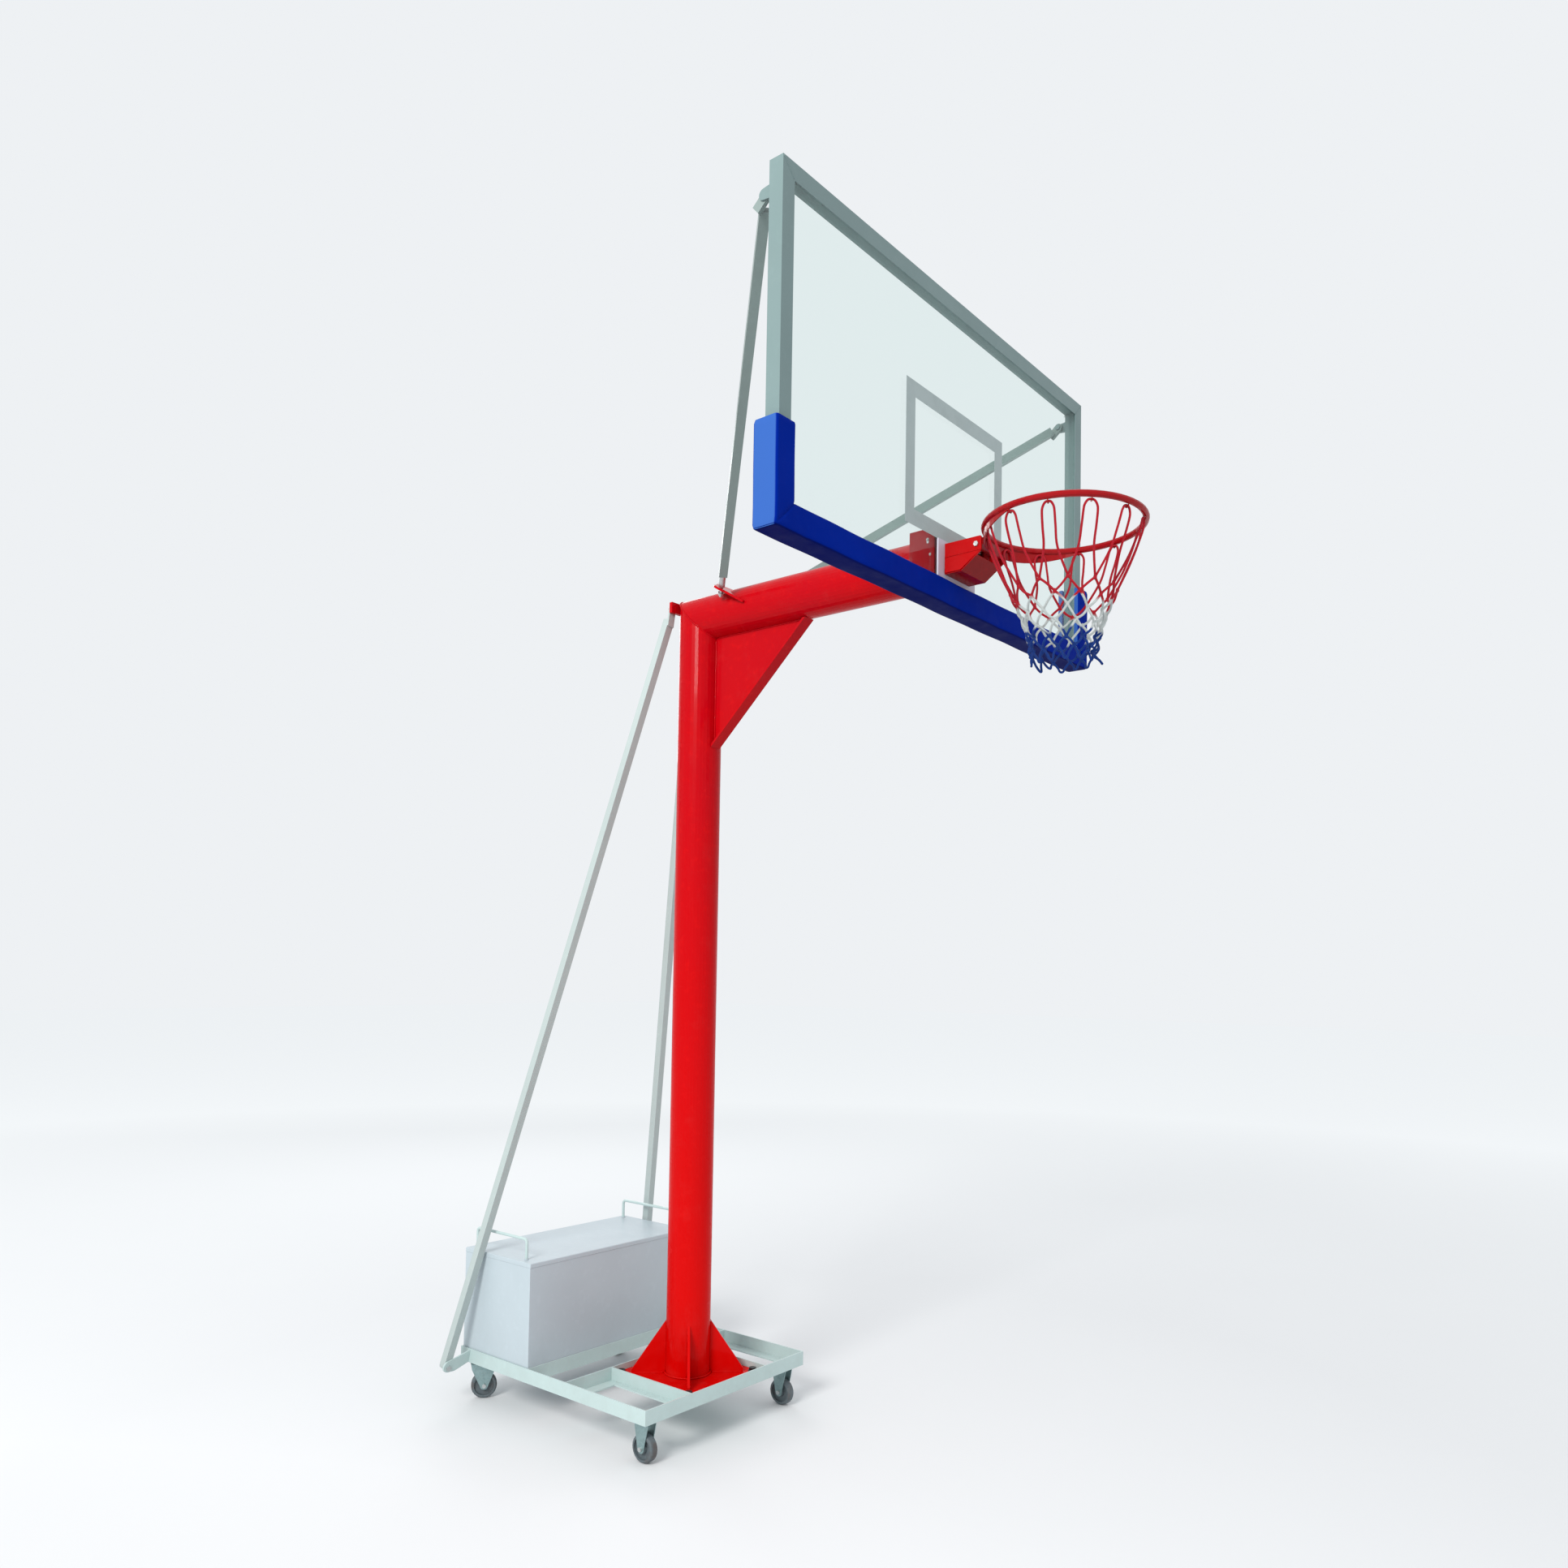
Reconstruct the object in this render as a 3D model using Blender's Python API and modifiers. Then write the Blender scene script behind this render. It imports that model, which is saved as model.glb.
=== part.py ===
"""Portable basketball stand with a glass board, a sprung ring and a ballast box on casters.

Metres, +Z up. The court side is -Y. Pieces are drawn round the column's axis and hang on an empty.
The empty moves the column so that the origin lies under the middle of the whole stand.
"""

import math

import bmesh
import bpy
from mathutils import Matrix, Vector

for leftover in list(bpy.data.objects):
    bpy.data.objects.remove(leftover, do_unlink=True)

# Clearance between pieces that touch
GAP = 0.0003

# How far a fused piece reaches into the other one, and how far a cutter reaches past what it cuts
OVERLAP = 0.001
OVERSHOOT = 0.010
HOLE_LENGTH = 0.120

# Base frame of angle iron
FRAME_HALF_WIDTH = 0.424
FRAME_FRONT = 0.215
FRAME_REAR = 0.812
FRAME_BOTTOM = 0.148
FRAME_HEIGHT = 0.052
ANGLE_FLANGE = 0.050
ANGLE_WALL = 0.005
POCKET_HALF_WIDTH = 0.202
POCKET_REAR = 0.200
POCKET_FLANGE = 0.030
BOX_RAIL_Y = 0.405

# Brace lugs on the side rails
BRACE_BESIDE_FRAME = 0.088
BRACE_FOOT_Y = 0.788
BRACE_FOOT_Z = 0.150
BRACE_LUG_THICKNESS = 0.008
BRACE_LUG_HEIGHT = 0.044
BRACE_LUG_STRAIGHT = 0.030
BRACE_LUG_MARGIN = 0.003

# Column foot
MOUNTING_PLATE = 0.010
FOOT_PLATE_SIDE = 0.385
FOOT_PLATE_THICKNESS = 0.014
GUSSET_THICKNESS = 0.010
GUSSET_REACH = 0.208
GUSSET_TOP = 0.370
GUSSET_TOE = 0.012
BOLT_SPACING = 0.344
BOLT_RADIUS = 0.008
BOLT_HOLE_CLEARANCE = 0.0005
BOLT_HEAD_RADIUS = 0.0138
BOLT_HEAD_HEIGHT = 0.010
WASHER_RADIUS = 0.017
WASHER_THICKNESS = 0.003

# Column and arm
PIPE_RADIUS = 0.0825
PIPE_WALL = 0.005
ARM_HEIGHT = 3.010
KNEE_LOW = 2.512
KNEE_REACH = 0.525
KNEE_FLANGE_WIDTH = 0.050
KNEE_FLANGE_THICKNESS = 0.008
KNEE_WEB_THICKNESS = 0.008

# Cross lug behind the elbow, with a stud for each brace
CROSS_LUG_HALF_WIDTH = 0.082
CROSS_LUG_HEIGHT = 0.040
CROSS_LUG_THICKNESS = 0.010
CROSS_LUG_SUNK = 0.004
CROSS_LUG_Z = 3.058
BRACE_HEAD_X = 0.062
STUD_RADIUS = 0.006
STUD_HEAD_RADIUS = 0.0105
STUD_HEAD_HEIGHT = 0.007

# Braces of square tube
BRACE_SIDE = 0.030
BRACE_TONGUE = 0.008
BRACE_TONGUE_SHOWING = 0.045
BRACE_TONGUE_LENGTH = 0.072
BRACE_BOLT_HEAD_HEIGHT = 0.006
BRACE_NUT_HEIGHT = 0.007

# Ballast box and its handles
BOX_TOP = 0.580
BOX_EDGE_RADIUS = 0.003
BOX_LIP = 0.0015
BOX_LIP_HEIGHT = 0.018
HANDLE_ROD_RADIUS = 0.006
HANDLE_X = 0.385
HANDLE_FRONT_Y = 0.475
HANDLE_REAR_Y = 0.775
HANDLE_TOP = 0.655
HANDLE_BEND = 0.014

# Board
BOARD_FACE = 1.125
BOARD_WIDTH = 1.800
BOARD_HEIGHT = 1.000
BOARD_BOTTOM = 2.860
BOARD_DEPTH = 0.048
BOARD_MEMBER = 0.050
GLASS_THICKNESS = 0.010
GLASS_LIP = 0.003
GLASS_BEARING = 0.012
TARGET_WIDTH = 0.590
TARGET_HEIGHT = 0.450
TARGET_BOTTOM = 3.050
TARGET_LINE = 0.050
TARGET_THICKNESS = 0.0006
CENTRE_PLATE_WIDTH = 0.225
CENTRE_PLATE_THICKNESS = 0.006

# Padding round the board's lower edge
PAD_WALL = 0.018
PAD_BELOW = 0.016
PAD_BESIDE = 0.030
PAD_TOP = 3.140
PAD_FACE_HEIGHT = 0.078
PAD_FACE_WIDTH = 0.080
PAD_ROUNDING = 0.006
PAD_CLEARANCE = 0.0006

# Arm head behind the glass
HEAD_FLANGE_WIDTH = 0.222
HEAD_FLANGE_BOTTOM = 2.925
HEAD_FLANGE_TOP = 3.100
HEAD_FLANGE_CHAMFER = 0.034
HEAD_FLANGE_THICKNESS = 0.012
HEAD_CHEEK_TOP = 3.097
HEAD_CHEEK_THICKNESS = 0.008
HEAD_CHEEK_REAR = 1.005
HEAD_CHEEK_ROUNDING = 0.014
HEAD_CHEEK_CORNER_DROP = 0.035
HEAD_CHEEK_CORNER_RUN = 0.045

# Board lugs and stays
LUG_INSET = 0.0195
LUG_THICKNESS = 0.006
LUG_HEIGHT = 0.040
LUG_ROUNDING = 0.016
STAY_PIN_Y = 1.045
STAY_PIN_Z = 3.787
STAY_SIDE = 0.030
STAY_TONGUE = 0.012
STAY_TONGUE_LENGTH = 0.045
STAY_TONGUE_SHOWING = 0.020
SADDLE_HOLE_X = 0.110
SADDLE_HOLE_Y = 0.200
SADDLE_HOLE_Z = 3.065
SADDLE_TILT = math.radians(212.1)
SADDLE_THICKNESS = 0.008
SADDLE_EAR_RADIUS = 0.030
SADDLE_TOP_HALF_WIDTH = 0.055
SADDLE_BOTTOM_MARGIN = 0.010
SADDLE_ABOVE = 0.085
SADDLE_BELOW = 0.105
STAY_ROD_RADIUS = 0.012
STAY_ROD_SHOWING = 0.065
STAY_THREAD_RADIUS = 0.006
STAY_NUT_RADIUS = 0.011
STAY_NUT_HEIGHT = 0.010
STAY_THREAD_SHOWING = 0.008

# Ring, its bracket and hinge
RING_CENTRE = 1.501
RING_TOP = 3.050
RING_INNER_RADIUS = 0.228
RING_ROD_RADIUS = 0.010
HOOK_COUNT = 12
HOOK_WIRE_RADIUS = 0.0022
HOOK_DROP = 0.014
HOOK_BEND = 0.006
BRACKET_HALF_WIDTH = 0.075
BRACKET_SHEET = 0.004
BRACKET_TOP = 3.040
BRACKET_BOTTOM = 2.942
BRACKET_FRONT = 1.260
BRACKET_FLOOR = 0.060
BRACKET_CORNER = 0.004
BRACKET_NOSE_DROP = 0.026
BRACKET_NOSE_OPEN = 0.014
HINGE_Y = 1.242
HINGE_Z = 3.016
HINGE_RADIUS = 0.005
HINGE_HEAD_RADIUS = 0.0085
HINGE_HEAD_HEIGHT = 0.005
HINGE_CLEARANCE = 0.0004
HINGE_BLOCK_RADIUS = 0.012
HINGE_BLOCK_HEIGHT = 0.022
TONGUE_CLEARANCE = 0.0015
SKIRT_DEPTH = 0.044
SKIRT_TIP_DEPTH = 0.009
SKIRT_THICKNESS = 0.004
SKIRT_TAPER = 1.6
SKIRT_START = math.radians(21)
SKIRT_END = math.radians(78)
SPRING_RADIUS = 0.009
SPRING_WIRE_RADIUS = 0.0013
SPRING_TURNS = 6
SPRING_Y = 1.204
SPRING_ARM_DROP = 0.024
SPRING_ARM_THICKNESS = 0.005
SPRING_LEG_THICKNESS = 0.006
SPRING_ARM_HALF_WIDTH = 0.016
SPRING_SEAT = 0.012

# Net
NET_CORD = 0.006
NET_LOOP_HALF_WIDTH = 0.007
NET_SEAT_CLEARANCE = 0.0003

# Casters
WHEEL_RADIUS = 0.049
WHEEL_WIDTH = 0.032
HUB_RADIUS = 0.017
HUB_WIDTH = 0.034
TYRE_INNER_RADIUS = 0.038
WEB_WIDTH = 0.014
AXLE_RADIUS = 0.005
AXLE_CLEARANCE = 0.0005
AXLE_HEAD_RADIUS = 0.0085
AXLE_HEAD_HEIGHT = 0.006
FORK_SHEET = 0.003
FORK_INNER_WIDTH = 0.036
CASTER_PLATE_LENGTH = 0.092
CASTER_PLATE_WIDTH = 0.085
CASTER_PLATE_THICKNESS = 0.004
FRONT_CASTER_X = 0.367
FRONT_CASTER_Y = -0.157
REAR_CASTER_X = 0.374
REAR_CASTER_Y = 0.7655
SWIVEL_TRAIL = 0.0225
SWIVEL_TURN = math.radians(-36.87)
BEARING_RADIUS = 0.030
BEARING_HEIGHT = 0.010
KINGPIN_RADIUS = 0.006
KINGPIN_HEAD_RADIUS = 0.010
PEDAL_PIVOT_AHEAD = 0.050
PEDAL_PIVOT_HEIGHT = 0.113
PEDAL_WIDTH = 0.034
PEDAL_LENGTH = 0.048
PEDAL_THICKNESS = 0.003

# Casters' forks and pedals, measured from the wheel's axle, the kingpin or the pedal's pin
FORK_AXLE_ROUNDING = 0.015
FORK_SHOULDER_DROP = 0.022
FRONT_FORK_TOP = 0.034
FRONT_FORK_SHOULDER = 0.030
REAR_FORK_BACK = 0.028
REAR_FORK_SHOULDER = 0.024
REAR_WEB_BACK = 0.020
REAR_WEB_SHORT = 0.012
PEDAL_CHEEK_MARGIN = 0.010
KINGPIN_HEAD_HEIGHT = 0.005
BEARING_TAPER = 0.004
PEDAL_DROP = 0.010
PEDAL_ROOT = 0.006
TYRE_EDGE = 0.005
TYRE_EDGE_DEPTH = 0.003

# Places that follow from the sizes above
BRACE_FOOT_X = FRAME_HALF_WIDTH + BRACE_BESIDE_FRAME
BOX_HALF_WIDTH = FRAME_HALF_WIDTH - ANGLE_WALL - GAP
LUG_X = BOARD_WIDTH / 2 - LUG_INSET
STAY_PIN_X = LUG_X - GAP - STAY_TONGUE / 2
RING_RADIUS = RING_INNER_RADIUS + RING_ROD_RADIUS
RING_Z = RING_TOP - RING_ROD_RADIUS
FRONT_REACH = RING_CENTRE + RING_RADIUS + RING_ROD_RADIUS
COLUMN_Y = (FRONT_REACH - FRAME_REAR) / 2
FRAME_TOP = FRAME_BOTTOM + FRAME_HEIGHT
FLANGE_TOP = FRAME_BOTTOM + ANGLE_WALL
MOUNTING_BOTTOM = FLANGE_TOP + GAP
FOOT_BOTTOM = MOUNTING_BOTTOM + MOUNTING_PLATE + GAP
FOOT_TOP = FOOT_BOTTOM + FOOT_PLATE_THICKNESS
COLUMN_BOTTOM = FOOT_TOP + GAP
BOARD_TOP = BOARD_BOTTOM + BOARD_HEIGHT
BOARD_REAR = BOARD_FACE - BOARD_DEPTH
OPENING_BOTTOM = BOARD_BOTTOM + BOARD_MEMBER
OPENING_TOP = BOARD_TOP - BOARD_MEMBER
OPENING_HALF_WIDTH = BOARD_WIDTH / 2 - BOARD_MEMBER
GLASS_FACE = BOARD_FACE - GLASS_LIP - GAP
GLASS_REAR = GLASS_FACE - GLASS_THICKNESS
HEAD_FLANGE_FACE = GLASS_REAR - GAP
HEAD_FLANGE_REAR = HEAD_FLANGE_FACE - HEAD_FLANGE_THICKNESS
CENTRE_PLATE_FACE = GLASS_FACE + GAP + CENTRE_PLATE_THICKNESS
PAD_FACE_TOP = BOARD_BOTTOM - PAD_BELOW + PAD_FACE_HEIGHT
BRACKET_REAR = CENTRE_PLATE_FACE + GAP
NET_TOP_RADIUS = RING_RADIUS - HOOK_BEND
NET_TOP = RING_Z - HOOK_DROP - HOOK_BEND + HOOK_WIRE_RADIUS + NET_CORD / 2 + NET_SEAT_CLEARANCE
CASTER_TOP = FRAME_BOTTOM - GAP
CASTER_PLATE_BOTTOM = CASTER_TOP - CASTER_PLATE_THICKNESS
UP = Vector((0, 0, 1))

PARTS = bpy.data.collections.new("basketball_stand")
CUTTERS = bpy.data.collections.new("cutters")
bpy.context.scene.collection.children.link(PARTS)
bpy.context.scene.collection.children.link(CUTTERS)
CUTTERS.hide_render = True

ROOT = bpy.data.objects.new("stand_origin", None)
ROOT.location = (0, COLUMN_Y, 0)
PARTS.objects.link(ROOT)


def paint(name, colour, roughness, metallic=0.0, alpha=1.0):
    made = bpy.data.materials.new(name)
    made.use_nodes = True
    shader = made.node_tree.nodes["Principled BSDF"]
    shader.inputs["Base Color"].default_value = (*colour, 1.0)
    shader.inputs["Roughness"].default_value = roughness
    shader.inputs["Metallic"].default_value = metallic
    shader.inputs["Alpha"].default_value = alpha
    made.diffuse_color = (*colour, alpha)
    return made


RED = paint("red_paint", (0.62, 0.004, 0.006), 0.28)
PALE = paint("pale_paint", (0.60, 0.70, 0.68), 0.38)
GREY = paint("board_grey", (0.30, 0.35, 0.35), 0.42)
STAY_GREY = paint("stay_grey", (0.42, 0.48, 0.47), 0.40)
GLASS = paint("clear_glass", (0.86, 0.93, 0.91), 0.03, 0.0, 0.25)
WHITE_LINE = paint("white_line", (0.80, 0.82, 0.84), 0.45)
CENTRE_GREY = paint("centre_grey", (0.62, 0.64, 0.68), 0.40)
BLUE_PAD = paint("blue_pad", (0.010, 0.014, 0.26), 0.55)
ZINC = paint("zinc_plate", (0.42, 0.46, 0.47), 0.35, 0.85)
BLACK_BOLT = paint("black_bolt", (0.02, 0.02, 0.022), 0.45, 0.4)
TREAD = paint("tread", (0.25, 0.23, 0.20), 0.70)
NET_CORD_PAINT = paint("net_cord", (0.55, 0.02, 0.03), 0.85)


def keep(obj, material=None, parent=ROOT):
    """Files an object as a part, under the stand's origin or the piece that carries it."""
    PARTS.objects.link(obj)
    obj.parent = parent
    if material is not None:
        obj.data.materials.clear()
        obj.data.materials.append(material)
    return obj


def hide_as_cutter(obj):
    """Files an object that only shapes another one."""
    CUTTERS.objects.link(obj)
    if obj.parent is None:
        obj.parent = ROOT
    obj.hide_render = True
    obj.display_type = "WIRE"
    return obj


def combine(obj, other, operation):
    """Adds a Boolean of one loose object to another and files the loose one as a cutter."""
    if other.name not in CUTTERS.objects:
        hide_as_cutter(other)
    modifier = obj.modifiers.new(operation.lower(), "BOOLEAN")
    modifier.operation = operation
    modifier.object = other
    modifier.solver = "EXACT"
    return obj


def fuse(obj, *others):
    for other in others:
        combine(obj, other, "UNION")
    return obj


def cut(obj, *others):
    for other in others:
        combine(obj, other, "DIFFERENCE")
    return obj


def from_bmesh(name, shape):
    bmesh.ops.recalc_face_normals(shape, faces=shape.faces)
    mesh = bpy.data.meshes.new(name)
    shape.to_mesh(mesh)
    shape.free()
    return bpy.data.objects.new(name, mesh)


def box(name, low, high):
    """A block between two opposite corners."""
    low, high = Vector(low), Vector(high)
    shape = bmesh.new()
    size = Matrix.Diagonal((*(high - low), 1.0))
    bmesh.ops.create_cube(shape, size=1.0, matrix=Matrix.Translation((low + high) / 2) @ size)
    return from_bmesh(name, shape)


def along(direction, side_hint=Vector((0, 1, 0))):
    """A rotation that turns +Z to the direction and keeps +Y as near as it can to the hint."""
    ahead = Vector(direction).normalized()
    across = side_hint.cross(ahead)
    if across.length < 1e-6:
        across = Vector((1, 0, 0)).cross(ahead)
    across.normalize()
    return Matrix((across, ahead.cross(across), ahead)).transposed().to_4x4()


def rod(name, start, end, radius, sides=24, end_radius=None):
    """A round or many-sided bar between two points."""
    start, end = Vector(start), Vector(end)
    shape = bmesh.new()
    bmesh.ops.create_cone(
        shape,
        cap_ends=True,
        segments=sides,
        radius1=radius,
        radius2=radius if end_radius is None else end_radius,
        depth=(end - start).length,
        matrix=Matrix.Translation((start + end) / 2) @ along(end - start),
    )
    return from_bmesh(name, shape)


def smooth(obj, angle=35):
    obj.data.shade_smooth()
    obj.data.set_sharp_from_angle(angle=math.radians(angle))
    return obj


PLANES = {
    "XY": Matrix.Identity(4),
    "YZ": Matrix(((0, 0, 1, 0), (1, 0, 0, 0), (0, 1, 0, 0), (0, 0, 0, 1))),
    "XZ": Matrix(((1, 0, 0, 0), (0, 0, -1, 0), (0, 1, 0, 0), (0, 0, 0, 1))),
}


def mesh_of_curve(curve, matrix):
    """The curve's solid as a mesh object, caps welded, at the given place."""
    carrier = bpy.data.objects.new(curve.name, curve)
    bpy.context.scene.collection.objects.link(carrier)
    graph = bpy.context.evaluated_depsgraph_get()
    mesh = bpy.data.meshes.new_from_object(carrier.evaluated_get(graph))
    bpy.data.objects.remove(carrier, do_unlink=True)
    shape = bmesh.new()
    shape.from_mesh(mesh)
    bmesh.ops.remove_doubles(shape, verts=shape.verts, dist=0.00002)
    bmesh.ops.transform(shape, matrix=matrix, verts=shape.verts)
    for face in shape.faces:
        face.smooth = False
    bpy.data.meshes.remove(mesh)
    return from_bmesh(curve.name, shape)


def prism(name, outline, thickness, plane="XY", middle=0.0, holes=()):
    """A flat outline with a thickness, drawn in one of the main planes at a distance from the origin."""
    curve = bpy.data.curves.new(name, "CURVE")
    curve.dimensions = "2D"
    curve.fill_mode = "BOTH"
    curve.extrude = thickness / 2
    for loop in (outline, *holes):
        spline = curve.splines.new("POLY")
        spline.points.add(len(loop) - 1)
        for point, (x, y) in zip(spline.points, loop):
            point.co = (x, y, 0, 1)
        spline.use_cyclic_u = True
    turn = PLANES[plane] if isinstance(plane, str) else plane
    return mesh_of_curve(curve, turn @ Matrix.Translation((0, 0, middle)))


def tube(name, points, radius, resolution=2, cyclic=False):
    """A round rod or wire through points."""
    curve = bpy.data.curves.new(name, "CURVE")
    curve.dimensions = "3D"
    curve.bevel_depth = radius
    curve.bevel_resolution = resolution
    curve.use_fill_caps = not cyclic
    spline = curve.splines.new("POLY")
    spline.points.add(len(points) - 1)
    for point, place in zip(spline.points, points):
        point.co = (*place, 1)
    spline.use_cyclic_u = cyclic
    return mesh_of_curve(curve, Matrix.Identity(4))


def turned(name, profile, steps=32):
    """A turned piece: the profile of (radius, height) runs down the outside from top to bottom."""
    mesh = bpy.data.meshes.new(name)
    closed = profile[0][0] > 1e-6
    count = len(profile)
    edges = [(i, i + 1) for i in range(count - 1)]
    if closed:
        edges.append((count - 1, 0))
    mesh.from_pydata([(r, 0, z) for r, z in profile], edges, [])
    made = bpy.data.objects.new(name, mesh)
    screw = made.modifiers.new("turn", "SCREW")
    screw.axis = "Z"
    screw.steps = steps
    screw.render_steps = steps
    screw.use_merge_vertices = True
    screw.merge_threshold = 0.0001
    screw.use_normal_calculate = True
    screw.use_smooth_shade = True
    return made


def arc(centre, radius, start, end, count):
    """Points on an arc, angles in degrees."""
    turns = [math.radians(start + (end - start) * i / (count - 1)) for i in range(count)]
    return [(centre[0] + radius * math.cos(a), centre[1] + radius * math.sin(a)) for a in turns]


def rectangle(half_width, low, high):
    return [(-half_width, low), (half_width, low), (half_width, high), (-half_width, high)]


def sides():
    """Left and right: a name ending and the sign of X."""
    return (("left", -1), ("right", 1))


# Base frame


def angle_iron(name, length, flange):
    """Angle iron along local X: the upright leg's outer face is at Y 0 and the flange points to +Y."""
    outline = [
        (0, 0),
        (flange, 0),
        (flange, ANGLE_WALL),
        (ANGLE_WALL, ANGLE_WALL),
        (ANGLE_WALL, FRAME_HEIGHT),
        (0, FRAME_HEIGHT),
    ]
    return prism(name, outline, length, "YZ")


def place_rail(rail, x, y, turn):
    rail.location = (x, y, FRAME_BOTTOM)
    rail.rotation_euler.z = math.radians(turn)
    return keep(rail, PALE)


def mitred_rail(name, length, x, y, turn):
    """One outer rail: its leg faces out, its flange points in, and its ends are cut at 45 degrees."""
    rail = angle_iron(name, length, ANGLE_FLANGE)
    for vertex in rail.data.vertices:
        vertex.co.x -= math.copysign(vertex.co.y + GAP / 2, vertex.co.x)
    return place_rail(rail, x, y, turn)


def build_outer_rails():
    middle = (FRAME_REAR - FRAME_FRONT) / 2
    length = FRAME_REAR + FRAME_FRONT
    mitred_rail("front_rail", 2 * FRAME_HALF_WIDTH, 0, -FRAME_FRONT, 0)
    mitred_rail("rear_rail", 2 * FRAME_HALF_WIDTH, 0, FRAME_REAR, 180)
    left = mitred_rail("left_rail", length, -FRAME_HALF_WIDTH, middle, -90)
    right = mitred_rail("right_rail", length, FRAME_HALF_WIDTH, middle, 90)
    return left, right


def notched_rail(name, length, flange, notch, x, y, turn):
    """An inner rail: both ends are notched over the flanges that they lie on."""
    rail = angle_iron(name, length, flange)
    for end in (-1, 1):
        near, far = sorted((end * (length / 2 - notch), end * (length / 2 + OVERSHOOT)))
        low = (near, -OVERSHOOT, -OVERSHOOT)
        cutter = box(f"{name}_notch_{end}", low, (far, flange + OVERSHOOT, ANGLE_WALL + GAP))
        cutter.parent = rail
        cut(rail, cutter)
    return place_rail(rail, x, y, turn)


def build_inner_rails():
    notch = ANGLE_FLANGE - ANGLE_WALL
    length = 2 * (FRAME_HALF_WIDTH - ANGLE_WALL - GAP)
    notched_rail("pocket_cross_rail", length, ANGLE_FLANGE, notch, 0, POCKET_REAR, 180)
    notched_rail("box_cross_rail", length, ANGLE_FLANGE, notch, 0, BOX_RAIL_Y, 0)
    start = -FRAME_FRONT + ANGLE_WALL + GAP
    end = POCKET_REAR - ANGLE_WALL - GAP
    for side, sign in sides():
        x = sign * (POCKET_HALF_WIDTH - ANGLE_WALL)
        name = "pocket_rail_" + side
        notched_rail(name, end - start, POCKET_FLANGE, notch, x, (start + end) / 2, -90 * sign)


def brace_ends(sign):
    foot = Vector((sign * BRACE_FOOT_X, BRACE_FOOT_Y, BRACE_FOOT_Z))
    head_y = PIPE_RADIUS + GAP + CROSS_LUG_THICKNESS + GAP + BRACE_TONGUE / 2
    return foot, Vector((sign * BRACE_HEAD_X, head_y, CROSS_LUG_Z))


def brace_frame(sign):
    """The brace's direction, and the direction across it that lies nearest to +Y."""
    foot, head = brace_ends(sign)
    ahead = (head - foot).normalized()
    across = (Vector((0, 1, 0)) - ahead * ahead.y).normalized()
    return ahead, across


def build_brace_lugs(side_rails):
    """A plate on each side rail's rear end, leaning with the brace, that carries the brace's foot bolt."""
    for (side, sign), rail in zip(sides(), side_rails):
        foot, _ = brace_ends(sign)
        _, across = brace_frame(sign)
        tab_y = foot.y - (BRACE_SIDE / 2 + GAP) / across.y - BRACE_LUG_THICKNESS / 2
        inner = FRAME_HALF_WIDTH - ANGLE_WALL / 2
        rounding = BRACE_LUG_HEIGHT / 2
        outline = [(inner, FRAME_BOTTOM + BRACE_LUG_MARGIN), (inner, FRAME_TOP - BRACE_LUG_MARGIN)]
        outline += arc((BRACE_FOOT_X, BRACE_FOOT_Z), rounding, 90, -90, 9)
        outline += [(BRACE_FOOT_X - BRACE_LUG_STRAIGHT, BRACE_FOOT_Z - rounding)]
        if sign < 0:
            outline = [(-x, z) for x, z in reversed(outline)]
        plate = prism("brace_lug_" + side, outline, BRACE_LUG_THICKNESS, "XZ", -tab_y)
        for vertex in plate.data.vertices:
            lean = across.x * (vertex.co.x - foot.x) + across.z * (vertex.co.z - foot.z)
            vertex.co.y -= lean / across.y
        cut(plate, bolt_hole("brace_lug_hole_" + side, foot, across, STUD_RADIUS))
        fuse(rail, plate)


def bolt_hole(name, centre, direction, radius):
    half = Vector(direction).normalized() * HOLE_LENGTH / 2
    return rod(name, Vector(centre) - half, Vector(centre) + half, radius + BOLT_HOLE_CLEARANCE, 16)


# Column foot


def corner_bolts():
    half = BOLT_SPACING / 2
    return (
        ("front_left", -half, -half),
        ("front_right", half, -half),
        ("rear_left", -half, half),
        ("rear_right", half, half),
    )


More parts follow.
